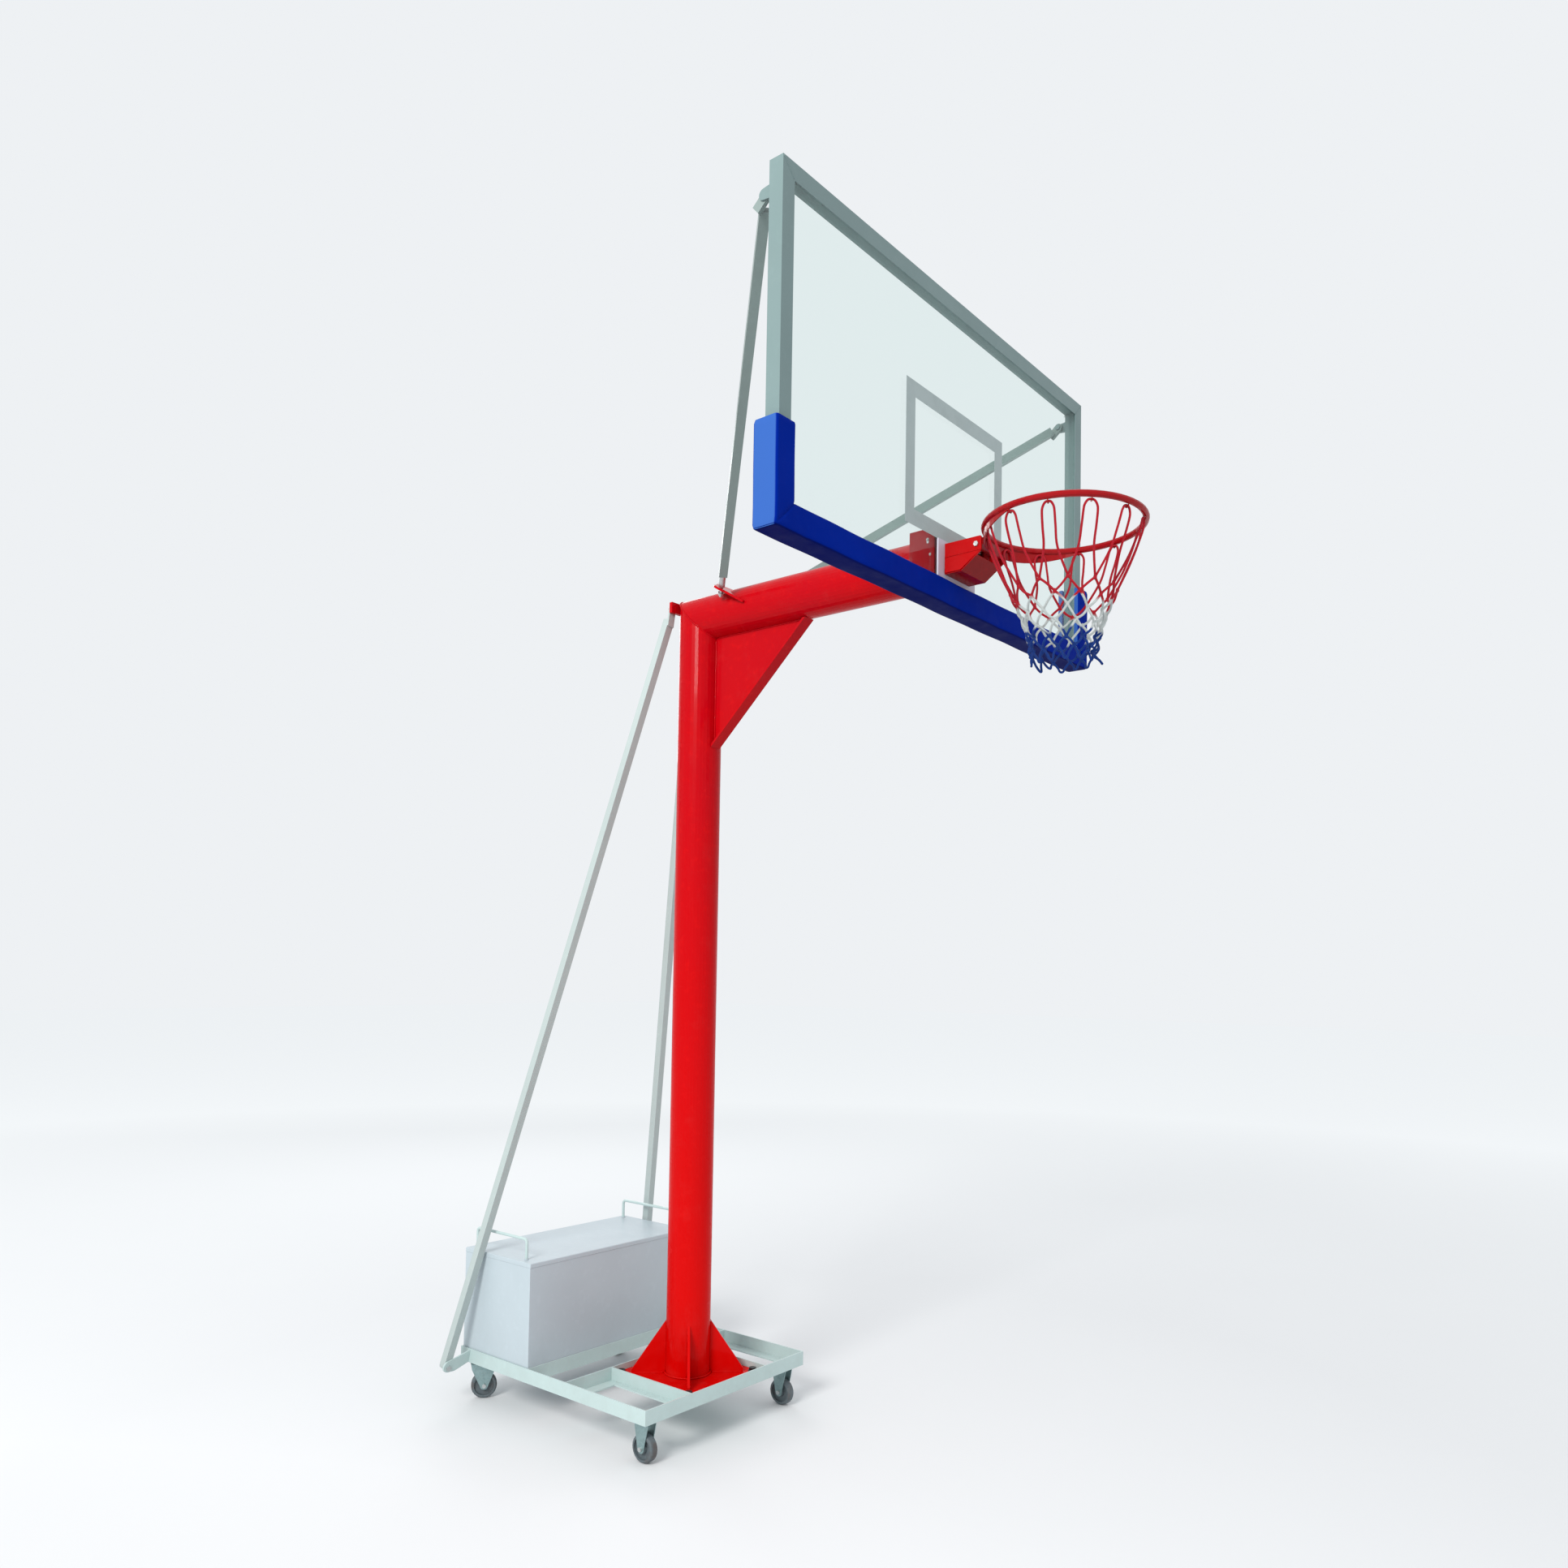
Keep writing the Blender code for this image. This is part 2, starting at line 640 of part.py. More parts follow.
def build_column_foot():
    inner = POCKET_HALF_WIDTH - ANGLE_WALL - GAP
    plate = box(
        "mounting_plate",
        (-inner, -FRAME_FRONT + ANGLE_WALL + GAP, MOUNTING_BOTTOM),
        (inner, POCKET_REAR - ANGLE_WALL - GAP, MOUNTING_BOTTOM + MOUNTING_PLATE),
    )
    half = FOOT_PLATE_SIDE / 2
    foot = box("column_foot", (-half, -half, FOOT_BOTTOM), (half, half, FOOT_TOP))
    start = PIPE_RADIUS + GAP
    outline = [
        (start, FOOT_TOP - OVERLAP),
        (GUSSET_REACH, FOOT_TOP - OVERLAP),
        (GUSSET_REACH, FOOT_TOP + GUSSET_TOE),
        (start, GUSSET_TOP),
    ]
    for index in range(4):
        turn = Matrix.Rotation(math.radians(45 + 90 * index), 4, "Z") @ PLANES["XZ"]
        fuse(foot, prism(f"column_gusset_{index + 1}", outline, GUSSET_THICKNESS, turn))
    for corner, x, y in corner_bolts():
        low, high = (x, y, FRAME_BOTTOM), (x, y, FOOT_TOP + OVERSHOOT)
        cut(foot, rod("foot_hole_" + corner, low, high, BOLT_RADIUS + BOLT_HOLE_CLEARANCE))
        cut(plate, rod("mounting_hole_" + corner, low, high, BOLT_RADIUS + BOLT_HOLE_CLEARANCE))
    keep(plate, PALE)
    keep(foot, RED)
    for corner, x, y in corner_bolts():
        seat = FOOT_TOP + GAP
        washer_top = seat + WASHER_THICKNESS
        bolt = rod("base_bolt_" + corner, (x, y, MOUNTING_BOTTOM + GAP), (x, y, washer_top), BOLT_RADIUS)
        washer = rod("washer_" + corner, (x, y, seat), (x, y, washer_top), WASHER_RADIUS)
        head_low = (x, y, washer_top - OVERLAP)
        head = rod("head_" + corner, head_low, (x, y, washer_top + BOLT_HEAD_HEIGHT), BOLT_HEAD_RADIUS, 6)
        keep(fuse(bolt, washer, head), BLACK_BOLT)


# Column, arm and knee


def pipe(name, start, end):
    """A pipe with open ends."""
    outer = rod(name, start, end, PIPE_RADIUS, 40)
    reach = (Vector(end) - Vector(start)).normalized() * OVERSHOOT
    bore = rod(name + "_bore", Vector(start) - reach, Vector(end) + reach, PIPE_RADIUS - PIPE_WALL, 40)
    return cut(smooth(outer), bore)


def mitre_block(name, side):
    """A large block whose face lies on the mitre plane of the elbow, half a gap clear of it."""
    size = 4 * PIPE_RADIUS
    shape = box(name, (-size, -size, 0), (size, size, size))
    ahead = Vector((0, side, -side)).normalized()
    place = Vector((0, 0, ARM_HEIGHT)) - ahead * (GAP / 2)
    shape.matrix_world = Matrix.Translation(place) @ along(ahead, Vector((1, 0, 0)))
    return shape


def build_column_and_arm():
    past = 2 * PIPE_RADIUS
    column = pipe("column", (0, 0, COLUMN_BOTTOM), (0, 0, ARM_HEIGHT + past))
    cut(column, mitre_block("column_mitre", -1))
    arm = pipe("arm", (0, past, ARM_HEIGHT), (0, -HEAD_FLANGE_REAR + GAP, ARM_HEIGHT))
    cut(arm, mitre_block("arm_mitre", 1))
    build_cross_lug(column)
    keep(column, RED)
    keep(arm, RED)


def build_cross_lug(column):
    """A plate welded behind the elbow, with a stud and nut for each brace."""
    half = CROSS_LUG_HEIGHT / 2
    rear = PIPE_RADIUS + GAP + CROSS_LUG_THICKNESS
    plate = box(
        "cross_lug",
        (-CROSS_LUG_HALF_WIDTH, PIPE_RADIUS - CROSS_LUG_SUNK, CROSS_LUG_Z - half),
        (CROSS_LUG_HALF_WIDTH, rear, CROSS_LUG_Z + half),
    )
    fuse(column, plate)
    for side, sign in sides():
        _, head = brace_ends(sign)
        root = Vector((head.x, rear - CROSS_LUG_THICKNESS / 2, head.z))
        face = Vector((head.x, head.y + BRACE_TONGUE / 2 + GAP, head.z))
        tip = face + Vector((0, STUD_HEAD_HEIGHT, 0))
        stud = rod("stud_" + side, root, face + Vector((0, OVERLAP, 0)), STUD_RADIUS, 16)
        nut = rod("stud_nut_" + side, face, tip, STUD_HEAD_RADIUS, 6)
        fuse(column, stud, nut)


def build_knee_gusset():
    """A web with a flange along its slope, between the column's front and the arm's underside."""
    face = -PIPE_RADIUS - GAP
    under = ARM_HEIGHT - PIPE_RADIUS - GAP
    rise = under - KNEE_LOW
    run = KNEE_REACH + face
    slope = math.hypot(rise, run)
    up = KNEE_FLANGE_THICKNESS * slope / run
    back = KNEE_FLANGE_THICKNESS * slope / rise
    web = prism(
        "knee_gusset",
        [(face, under), (face, KNEE_LOW + up / 2), (back / 2 - KNEE_REACH, under)],
        KNEE_WEB_THICKNESS,
        "YZ",
    )
    flange = prism(
        "knee_flange",
        [(face, KNEE_LOW + up), (back - KNEE_REACH, under), (-KNEE_REACH, under), (face, KNEE_LOW)],
        KNEE_FLANGE_WIDTH,
        "YZ",
    )
    keep(fuse(web, flange), RED)


# Braces


def build_braces():
    """Square tubes: a rounded foot bolted to the lug, and a flat tongue on the cross lug's stud."""
    for side, sign in sides():
        foot, head = brace_ends(sign)
        ahead, across = brace_frame(sign)
        turn = Matrix((across.cross(ahead), ahead, -across)).transposed().to_4x4()
        half = BRACE_SIDE / 2
        body_end = (head - foot).length - BRACE_TONGUE_SHOWING
        outline = arc((0, 0), half, 180, 360, 9) + [(half, body_end), (-half, body_end)]
        brace = prism("brace_" + side, outline, BRACE_SIDE, Matrix.Translation(foot) @ turn)
        tongue = brace_tongue(side, foot, head)
        hole = bolt_hole("brace_foot_hole_" + side, foot, across, STUD_RADIUS)
        keep(cut(fuse(brace, tongue), hole), PALE)
        build_brace_bolt(side, foot, across)


def brace_tongue(side, foot, head):
    """The flattened head of a brace, upright behind the cross lug."""
    flat = Vector((head.x - foot.x, 0, head.z - foot.z)).normalized()
    square = Vector((flat.z, 0, -flat.x))
    turn = Matrix((square, flat, Vector((0, -1, 0)))).transposed().to_4x4()
    half = BRACE_SIDE / 2
    outline = arc((0, 0), half, 0, 180, 9)
    outline += [(-half, -BRACE_TONGUE_LENGTH), (half, -BRACE_TONGUE_LENGTH)]
    tongue = prism("brace_tongue_" + side, outline, BRACE_TONGUE, Matrix.Translation(head) @ turn)
    return cut(tongue, bolt_hole("brace_head_hole_" + side, head, (0, 1, 0), STUD_RADIUS))


def build_brace_bolt(side, foot, across):
    """A bolt through the brace's foot and the lug, with its head behind and its nut in front."""
    outside = foot + across * (BRACE_SIDE / 2 + GAP)
    inside = foot - across * (BRACE_SIDE / 2 + 2 * GAP + BRACE_LUG_THICKNESS * across.y)
    reach = across * OVERLAP
    shank = rod("brace_bolt_" + side, inside - reach, outside + reach, STUD_RADIUS, 16)
    head_end = outside + across * BRACE_BOLT_HEAD_HEIGHT
    head = rod("brace_bolt_head_" + side, outside, head_end, STUD_HEAD_RADIUS, 6)
    nut = rod("brace_bolt_nut_" + side, inside - across * BRACE_NUT_HEIGHT, inside, STUD_HEAD_RADIUS, 6)
    keep(fuse(shank, head, nut), ZINC)


# Ballast box


def build_ballast_box():
    front = BOX_RAIL_Y + ANGLE_WALL + GAP
    rear = FRAME_REAR - ANGLE_WALL - GAP
    low = FLANGE_TOP + GAP
    body = box(
        "ballast_box",
        (-BOX_HALF_WIDTH + BOX_LIP, front + BOX_LIP, low),
        (BOX_HALF_WIDTH - BOX_LIP, rear - BOX_LIP, BOX_TOP - BOX_LIP_HEIGHT / 2),
    )
    lid_low = (-BOX_HALF_WIDTH, front, BOX_TOP - BOX_LIP_HEIGHT)
    lid = box("box_lid", lid_low, (BOX_HALF_WIDTH, rear, BOX_TOP))
    bevel = lid.modifiers.new("edge", "BEVEL")
    bevel.width = BOX_EDGE_RADIUS
    bevel.segments = 2
    keep(fuse(body, lid), PALE)
    for side, sign in sides():
        x = sign * HANDLE_X
        foot = BOX_TOP + GAP
        bend = HANDLE_BEND
        points = [(x, HANDLE_FRONT_Y, foot)]
        corner = arc((HANDLE_FRONT_Y + bend, HANDLE_TOP - bend), bend, 180, 90, 4)
        corner += arc((HANDLE_REAR_Y - bend, HANDLE_TOP - bend), bend, 90, 0, 4)
        points += [(x, y, z) for y, z in corner]
        points.append((x, HANDLE_REAR_Y, foot))
        keep(smooth(tube("ballast_handle_" + side, points, HANDLE_ROD_RADIUS)), PALE)


# Board


def build_board():
    half = BOARD_WIDTH / 2
    frame = prism(
        "board_frame",
        rectangle(half, BOARD_BOTTOM, BOARD_TOP),
        BOARD_DEPTH,
        "XZ",
        BOARD_FACE - BOARD_DEPTH / 2,
        holes=[rectangle(OPENING_HALF_WIDTH, OPENING_BOTTOM, OPENING_TOP)],
    )
    rebate = GLASS_BEARING + GAP
    cutter = box(
        "glass_rebate",
        (-OPENING_HALF_WIDTH - rebate, -GLASS_FACE - GAP, OPENING_BOTTOM - rebate),
        (OPENING_HALF_WIDTH + rebate, -BOARD_REAR + OVERSHOOT, OPENING_TOP + rebate),
    )
    keep(cut(frame, cutter), GREY)
    glass = box(
        "board_glass",
        (-OPENING_HALF_WIDTH - GLASS_BEARING, -GLASS_FACE, OPENING_BOTTOM - GLASS_BEARING),
        (OPENING_HALF_WIDTH + GLASS_BEARING, -GLASS_REAR, OPENING_TOP + GLASS_BEARING),
    )
    keep(glass, GLASS)
    outer = rectangle(TARGET_WIDTH / 2, TARGET_BOTTOM, TARGET_BOTTOM + TARGET_HEIGHT)
    inner = rectangle(
        TARGET_WIDTH / 2 - TARGET_LINE,
        TARGET_BOTTOM + TARGET_LINE,
        TARGET_BOTTOM + TARGET_HEIGHT - TARGET_LINE,
    )
    lines = prism(
        "target_lines",
        outer,
        TARGET_THICKNESS,
        "XZ",
        GLASS_FACE + GAP + TARGET_THICKNESS / 2,
        holes=[inner],
    )
    keep(lines, WHITE_LINE)
    plate = box(
        "centre_plate",
        (-CENTRE_PLATE_WIDTH / 2, -CENTRE_PLATE_FACE, PAD_FACE_TOP + GAP),
        (CENTRE_PLATE_WIDTH / 2, -GLASS_FACE - GAP, TARGET_BOTTOM - GAP),
    )
    keep(plate, CENTRE_GREY)


def build_board_lugs():
    """A plate behind each upper corner of the board frame, with a stud for the stay's flat end."""
    root = -BOARD_REAR + GAP
    half = LUG_HEIGHT / 2
    outline = arc((-STAY_PIN_Y, STAY_PIN_Z), LUG_ROUNDING, -90, 90, 9)
    outline += [(root, STAY_PIN_Z + half), (root, STAY_PIN_Z - half)]
    for side, sign in sides():
        middle = sign * (LUG_X + LUG_THICKNESS / 2)
        inner = sign * (STAY_PIN_X - STAY_TONGUE / 2 - GAP)
        lug = prism("board_lug_" + side, outline, LUG_THICKNESS, "YZ", middle)
        start = (middle, -STAY_PIN_Y, STAY_PIN_Z)
        end = (inner - sign * OVERLAP, -STAY_PIN_Y, STAY_PIN_Z)
        stud = rod("lug_stud_" + side, start, end, STUD_RADIUS, 16)
        nut_low = (inner, -STAY_PIN_Y, STAY_PIN_Z)
        nut_high = (inner - sign * STUD_HEAD_HEIGHT, -STAY_PIN_Y, STAY_PIN_Z)
        nut = rod("lug_nut_" + side, nut_low, nut_high, STUD_HEAD_RADIUS, 6)
        keep(fuse(lug, stud, nut), GREY)


def pad_section(width, wall_outside):
    """A channel that grips an edge: the first number runs inward from the edge, the second to the rear."""
    slot = BOARD_DEPTH + 2 * PAD_CLEARANCE
    front, rear = -PAD_WALL, slot + PAD_WALL
    r = PAD_ROUNDING
    points = [(width, front)]
    points += arc((r - wall_outside, front + r), r, 270, 180, 4)
    points += arc((r - wall_outside, rear - r), r, 180, 90, 4)
    points += [(width, rear), (width, slot), (-PAD_CLEARANCE, slot), (-PAD_CLEARANCE, 0), (width, 0)]
    return points


def build_pads():
    """Three channels of foam round the board's lower edge, mitred where they meet."""
    half = BOARD_WIDTH / 2
    face = -BOARD_FACE - PAD_CLEARANCE
    section = pad_section(PAD_FACE_HEIGHT - PAD_BELOW, PAD_BELOW)
    bottom = prism("pad_bottom", [(y, z) for z, y in section], 2 * (half + PAD_BESIDE), "YZ")
    mitre = PAD_FACE_WIDTH / PAD_FACE_HEIGHT
    for vertex in bottom.data.vertices:
        x_end = half + PAD_BESIDE - (vertex.co.z + PAD_BELOW) * mitre
        vertex.co.x = math.copysign(x_end - GAP / 2, vertex.co.x)
        vertex.co.y += face
        vertex.co.z += BOARD_BOTTOM
    keep(bottom, BLUE_PAD)
    for side, sign in sides():
        section = pad_section(PAD_FACE_WIDTH - PAD_BESIDE, PAD_BESIDE)
        outline = [(-sign * x, y) for x, y in section]
        if sign > 0:
            outline.reverse()
        height = PAD_TOP - BOARD_BOTTOM
        leg = prism("pad_" + side, outline, height, "XY", height / 2)
        for vertex in leg.data.vertices:
            if vertex.co.z < height / 2:
                vertex.co.z = (PAD_BESIDE - sign * vertex.co.x + GAP / 2) / mitre - PAD_BELOW
            vertex.co.x += sign * half
            vertex.co.y += face
            vertex.co.z += BOARD_BOTTOM
        keep(leg, BLUE_PAD)


# Arm head, saddle and stays


def build_arm_head():
    """A flange with cut corners behind the glass, and a cheek on each side of the arm."""
    half = HEAD_FLANGE_WIDTH / 2
    chamfer = HEAD_FLANGE_CHAMFER
    flange = [
        (-half, HEAD_FLANGE_BOTTOM),
        (half, HEAD_FLANGE_BOTTOM),
        (half, HEAD_FLANGE_TOP - chamfer),
        (half - chamfer, HEAD_FLANGE_TOP),
        (chamfer - half, HEAD_FLANGE_TOP),
        (-half, HEAD_FLANGE_TOP - chamfer),
    ]
    middle = (HEAD_FLANGE_FACE + HEAD_FLANGE_REAR) / 2
    head = prism("arm_head", flange, HEAD_FLANGE_THICKNESS, "XZ", middle)
    root = -HEAD_FLANGE_REAR - OVERLAP
    r = HEAD_CHEEK_ROUNDING
    cheek = [
        (root, HEAD_FLANGE_BOTTOM),
        (-HEAD_CHEEK_REAR - HEAD_CHEEK_CORNER_RUN, HEAD_FLANGE_BOTTOM),
        (-HEAD_CHEEK_REAR, ARM_HEIGHT - HEAD_CHEEK_CORNER_DROP),
        (-HEAD_CHEEK_REAR, HEAD_CHEEK_TOP),
    ]
    cheek += arc((root + r, HEAD_CHEEK_TOP - r), r, 90, 180, 5)
    centre = PIPE_RADIUS + GAP + HEAD_CHEEK_THICKNESS / 2
    for side, sign in sides():
        fuse(head, prism("head_cheek_" + side, cheek, HEAD_CHEEK_THICKNESS, "YZ", sign * centre))
    keep(head, RED)


def stay_ends(sign):
    low = Vector((sign * SADDLE_HOLE_X, -SADDLE_HOLE_Y, SADDLE_HOLE_Z))
    high = Vector((sign * STAY_PIN_X, -STAY_PIN_Y, STAY_PIN_Z))
    return low, high


def build_saddle():
    """An inclined plate over the arm: an ear each side holds a stay rod."""
    down = Vector((0, math.cos(SADDLE_TILT), math.sin(SADDLE_TILT)))
    across = Vector((1, 0, 0))
    turn = Matrix((across, down, across.cross(down))).transposed().to_4x4()
    place = Matrix.Translation((0, -SADDLE_HOLE_Y, SADDLE_HOLE_Z)) @ turn
    right = [(SADDLE_TOP_HALF_WIDTH, -SADDLE_ABOVE)]
    right += arc((SADDLE_HOLE_X, 0), SADDLE_EAR_RADIUS, -75, 75, 7)
    right += [(PIPE_RADIUS + SADDLE_BOTTOM_MARGIN, SADDLE_BELOW)]
    outline = right + [(-x, s) for x, s in reversed(right)]
    saddle = prism("stay_saddle", outline, SADDLE_THICKNESS, place)
    seat_end = (0, -2 * SADDLE_HOLE_Y, ARM_HEIGHT)
    cut(saddle, rod("saddle_seat", (0, 0, ARM_HEIGHT), seat_end, PIPE_RADIUS + GAP, 40))
    for side, sign in sides():
        low, high = stay_ends(sign)
        cut(saddle, bolt_hole("saddle_hole_" + side, low, high - low, STAY_THREAD_RADIUS))
    keep(saddle, RED)


def build_stays():
    """Square tubes from the board lugs down to round rods that pass through the saddle's ears."""
    for side, sign in sides():
        low, high = stay_ends(sign)
        ahead = (high - low).normalized()
        tube_start = low + ahead * STAY_ROD_SHOWING
        stop = abs(high.x) - STAY_TONGUE_SHOWING
        tube_end = low + ahead * ((stop - abs(low.x)) / abs(ahead.x))
        half = STAY_SIDE / 2
        centre = (tube_start + tube_end) / 2
        length = (tube_end - tube_start).length
        bar = prism(
            "stay_" + side,
            [(-half, -half), (half, -half), (half, half), (-half, half)],
            length,
            Matrix.Translation(centre) @ along(ahead, UP),
        )
        keep(fuse(bar, stay_tongue(side, sign, high, ahead)), STAY_GREY)
        build_stay_rod(side, low, ahead)


def stay_tongue(side, sign, high, ahead):
    """The flattened end of a stay, upright beside the board lug."""
    back = Vector((0, -ahead.y, -ahead.z)).normalized()
    half = STAY_SIDE / 2
    start = math.degrees(math.atan2(back.z, back.y))
    ahead_2d = Vector((back.y, back.z))
    square = Vector((-ahead_2d.y, ahead_2d.x)) * half
    end = Vector((high.y, high.z)) + ahead_2d * STAY_TONGUE_LENGTH
    outline = arc((high.y, high.z), half, start + 90, start + 270, 9)
    outline += [tuple(end - square), tuple(end + square)]
    tongue = prism("stay_tongue_" + side, outline, STAY_TONGUE, "YZ", sign * STAY_PIN_X)
    return cut(tongue, bolt_hole("stay_hole_" + side, high, (1, 0, 0), STUD_RADIUS))


def build_stay_rod(side, low, ahead):
    """A round rod with a thread through the saddle's ear and a nut under it."""
    normal = Vector((0, -math.sin(SADDLE_TILT), math.cos(SADDLE_TILT)))
    lean = math.acos(abs(normal.dot(ahead)))
    through = SADDLE_THICKNESS / 2 / math.cos(lean) + GAP
    shoulder = through + STAY_ROD_RADIUS * math.tan(lean)
    nut_face = through + STAY_NUT_RADIUS * math.tan(lean)
    end = low + ahead * (STAY_ROD_SHOWING - GAP)
    tip = low - ahead * (nut_face + STAY_NUT_HEIGHT + STAY_THREAD_SHOWING)
    upper = rod("stay_rod_" + side, low + ahead * shoulder, end, STAY_ROD_RADIUS, 16)
    thread_end = low + ahead * (shoulder + OVERLAP)
    thread = rod("stay_thread_" + side, tip, thread_end, STAY_THREAD_RADIUS, 12)
    nut_top = low - ahead * nut_face
    nut = rod("stay_nut_" + side, nut_top - ahead * STAY_NUT_HEIGHT, nut_top, STAY_NUT_RADIUS, 6)
    keep(fuse(smooth(upper), thread, nut), ZINC)


# Ring bracket, ring and net


def build_rim_bracket():
    """A folded steel bracket: two cheeks, a back plate, a short roof and a slanted underside."""
    back, front = -BRACKET_REAR, -BRACKET_FRONT
    half, sheet = BRACKET_HALF_WIDTH, BRACKET_SHEET
    fold = Vector((back - BRACKET_FLOOR, BRACKET_BOTTOM))
    nose = Vector((front + BRACKET_CORNER, HINGE_Z - BRACKET_NOSE_DROP))
    cheek = [
        (back, BRACKET_TOP),
        (back, BRACKET_BOTTOM),
        tuple(fold),
        tuple(nose),
        (front, nose.y + 2 * BRACKET_CORNER),
        (front, BRACKET_TOP - BRACKET_CORNER),
        (front + BRACKET_CORNER, BRACKET_TOP),
    ]
    plate = box("rim_bracket", (-half, back - sheet, BRACKET_BOTTOM), (half, back, BRACKET_TOP))
    for side, sign in sides():
        fuse(plate, prism("rim_cheek_" + side, cheek, sheet, "YZ", sign * (half - sheet / 2)))
    inner = half - OVERLAP
    rear = back - OVERLAP
    roof_low = (-inner, -SPRING_Y - SPRING_SEAT, BRACKET_TOP - sheet)
    roof = box("rim_roof", roof_low, (inner, rear, BRACKET_TOP))
    slope = (nose - fold).normalized()
    inward = Vector((slope.y, -slope.x)) * sheet
    end = nose - slope * BRACKET_NOSE_OPEN
    under = [
        (rear, BRACKET_BOTTOM),
        tuple(fold),
        tuple(end),
        tuple(end + inward),
        (fold.x + inward.x / 2, BRACKET_BOTTOM + sheet),
        (rear, BRACKET_BOTTOM + sheet),
    ]
    fuse(plate, roof, prism("rim_underside", under, 2 * inner, "YZ"))
    past = half + OVERSHOOT
    ends = (-past, -HINGE_Y, HINGE_Z), (past, -HINGE_Y, HINGE_Z)
    keep(cut(plate, rod("hinge_hole", *ends, HINGE_RADIUS + GAP, 20)), RED)


def ring_point(angle, radius, z):
    """A point round the ring's centre; the angle starts at the side nearest the board."""
    return (radius * math.sin(angle), -RING_CENTRE + radius * math.cos(angle), z)


def build_skirt():
    """A curved plate under the ring's rear half, deep at the bracket and tapering out along both sides."""
    count = 25
    outer, inner = RING_RADIUS + SKIRT_THICKNESS / 2, RING_RADIUS - SKIRT_THICKNESS / 2
    fall = SKIRT_DEPTH - SKIRT_TIP_DEPTH
    shape = bmesh.new()
    columns = []
    for i in range(count):
        angle = SKIRT_END * (2 * i / (count - 1) - 1)
        share = max(0.0, (abs(angle) - SKIRT_START) / (SKIRT_END - SKIRT_START))
        bottom = RING_Z - SKIRT_TIP_DEPTH - fall * (1 - share**SKIRT_TAPER)
        spots = ((outer, RING_Z), (outer, bottom), (inner, bottom), (inner, RING_Z))
        columns.append([shape.verts.new(ring_point(angle, r, z)) for r, z in spots])
    for first, second in zip(columns, columns[1:]):
        for k in range(4):
            m = (k + 1) % 4
            shape.faces.new((first[k], first[m], second[m], second[k]))
    shape.faces.new(columns[0])
    shape.faces.new(columns[-1][::-1])
    return from_bmesh("ring_skirt", shape)


def build_hook(index):
    """A wire hook under the ring that holds one loop of the net."""
    angle = 2 * math.pi * (index + 0.5) / HOOK_COUNT
    path = [(NET_TOP_RADIUS + HOOK_BEND, RING_Z - RING_ROD_RADIUS / 2)]
    path += arc((NET_TOP_RADIUS, RING_Z - HOOK_DROP), HOOK_BEND, 0, -180, 6)
    points = [ring_point(angle, r, z) for r, z in path]
    return tube(f"hook_{index + 1}", points, HOOK_WIRE_RADIUS, 0)


def build_ring():
    """The ring with its skirt, hooks, hinge block and spring arm. Its origin is the hinge."""
    steps = 60
    path = [ring_point(2 * math.pi * i / steps, RING_RADIUS, RING_Z) for i in range(steps)]
    ring = smooth(tube("rim_ring", path, RING_ROD_RADIUS, 3, cyclic=True), 60)
    fuse(ring, build_skirt())
    width = BRACKET_HALF_WIDTH - BRACKET_SHEET - TONGUE_CLEARANCE
    front = RING_RADIUS - RING_CENTRE
    block_top = RING_Z - RING_ROD_RADIUS / 2
    block = arc((-HINGE_Y, HINGE_Z), HINGE_BLOCK_RADIUS, 90, -90, 7)
    block += [(front, block_top - HINGE_BLOCK_HEIGHT), (front, block_top)]
    arm_top = HINGE_Z - SPRING_ARM_DROP
    arm_bottom = arm_top - SPRING_ARM_THICKNESS
    tip = -SPRING_Y + SPRING_SEAT
    leg = -HINGE_Y + HINGE_BLOCK_RADIUS
    arm = [
        (leg - SPRING_LEG_THICKNESS, HINGE_Z),
        (leg - SPRING_LEG_THICKNESS, arm_bottom),
        (tip, arm_bottom),
        (tip, arm_top),
        (leg, arm_top),
        (leg, HINGE_Z),
    ]
    spring_arm = prism("spring_arm", arm, 2 * SPRING_ARM_HALF_WIDTH, "YZ")
    fuse(ring, prism("hinge_block", block, 2 * width, "YZ"), spring_arm)
    for index in range(HOOK_COUNT):
        fuse(ring, build_hook(index))
    past = width + OVERSHOOT
    ends = (-past, -HINGE_Y, HINGE_Z), (past, -HINGE_Y, HINGE_Z)
    cut(ring, rod("ring_hinge_hole", *ends, HINGE_RADIUS + HINGE_CLEARANCE, 20))
    set_origin(ring, (0, -HINGE_Y, HINGE_Z))
    return keep(ring, RED)


def set_origin(obj, place):
    """Moves an object's origin to a joint's axis without moving its shape."""
    place = Vector(place)
    obj.data.transform(Matrix.Translation(-place))
    obj.location = place


def build_hinge_bolt():
    half = BRACKET_HALF_WIDTH + GAP
    past = half + OVERLAP
    bolt = rod("rim_hinge_bolt", (-past, -HINGE_Y, HINGE_Z), (past, -HINGE_Y, HINGE_Z), HINGE_RADIUS, 20)
    for side, sign in sides():
        start = (sign * half, -HINGE_Y, HINGE_Z)
        end = (sign * (half + HINGE_HEAD_HEIGHT), -HINGE_Y, HINGE_Z)
        fuse(bolt, rod("hinge_head_" + side, start, end, HINGE_HEAD_RADIUS, 6))
    keep(bolt, ZINC)


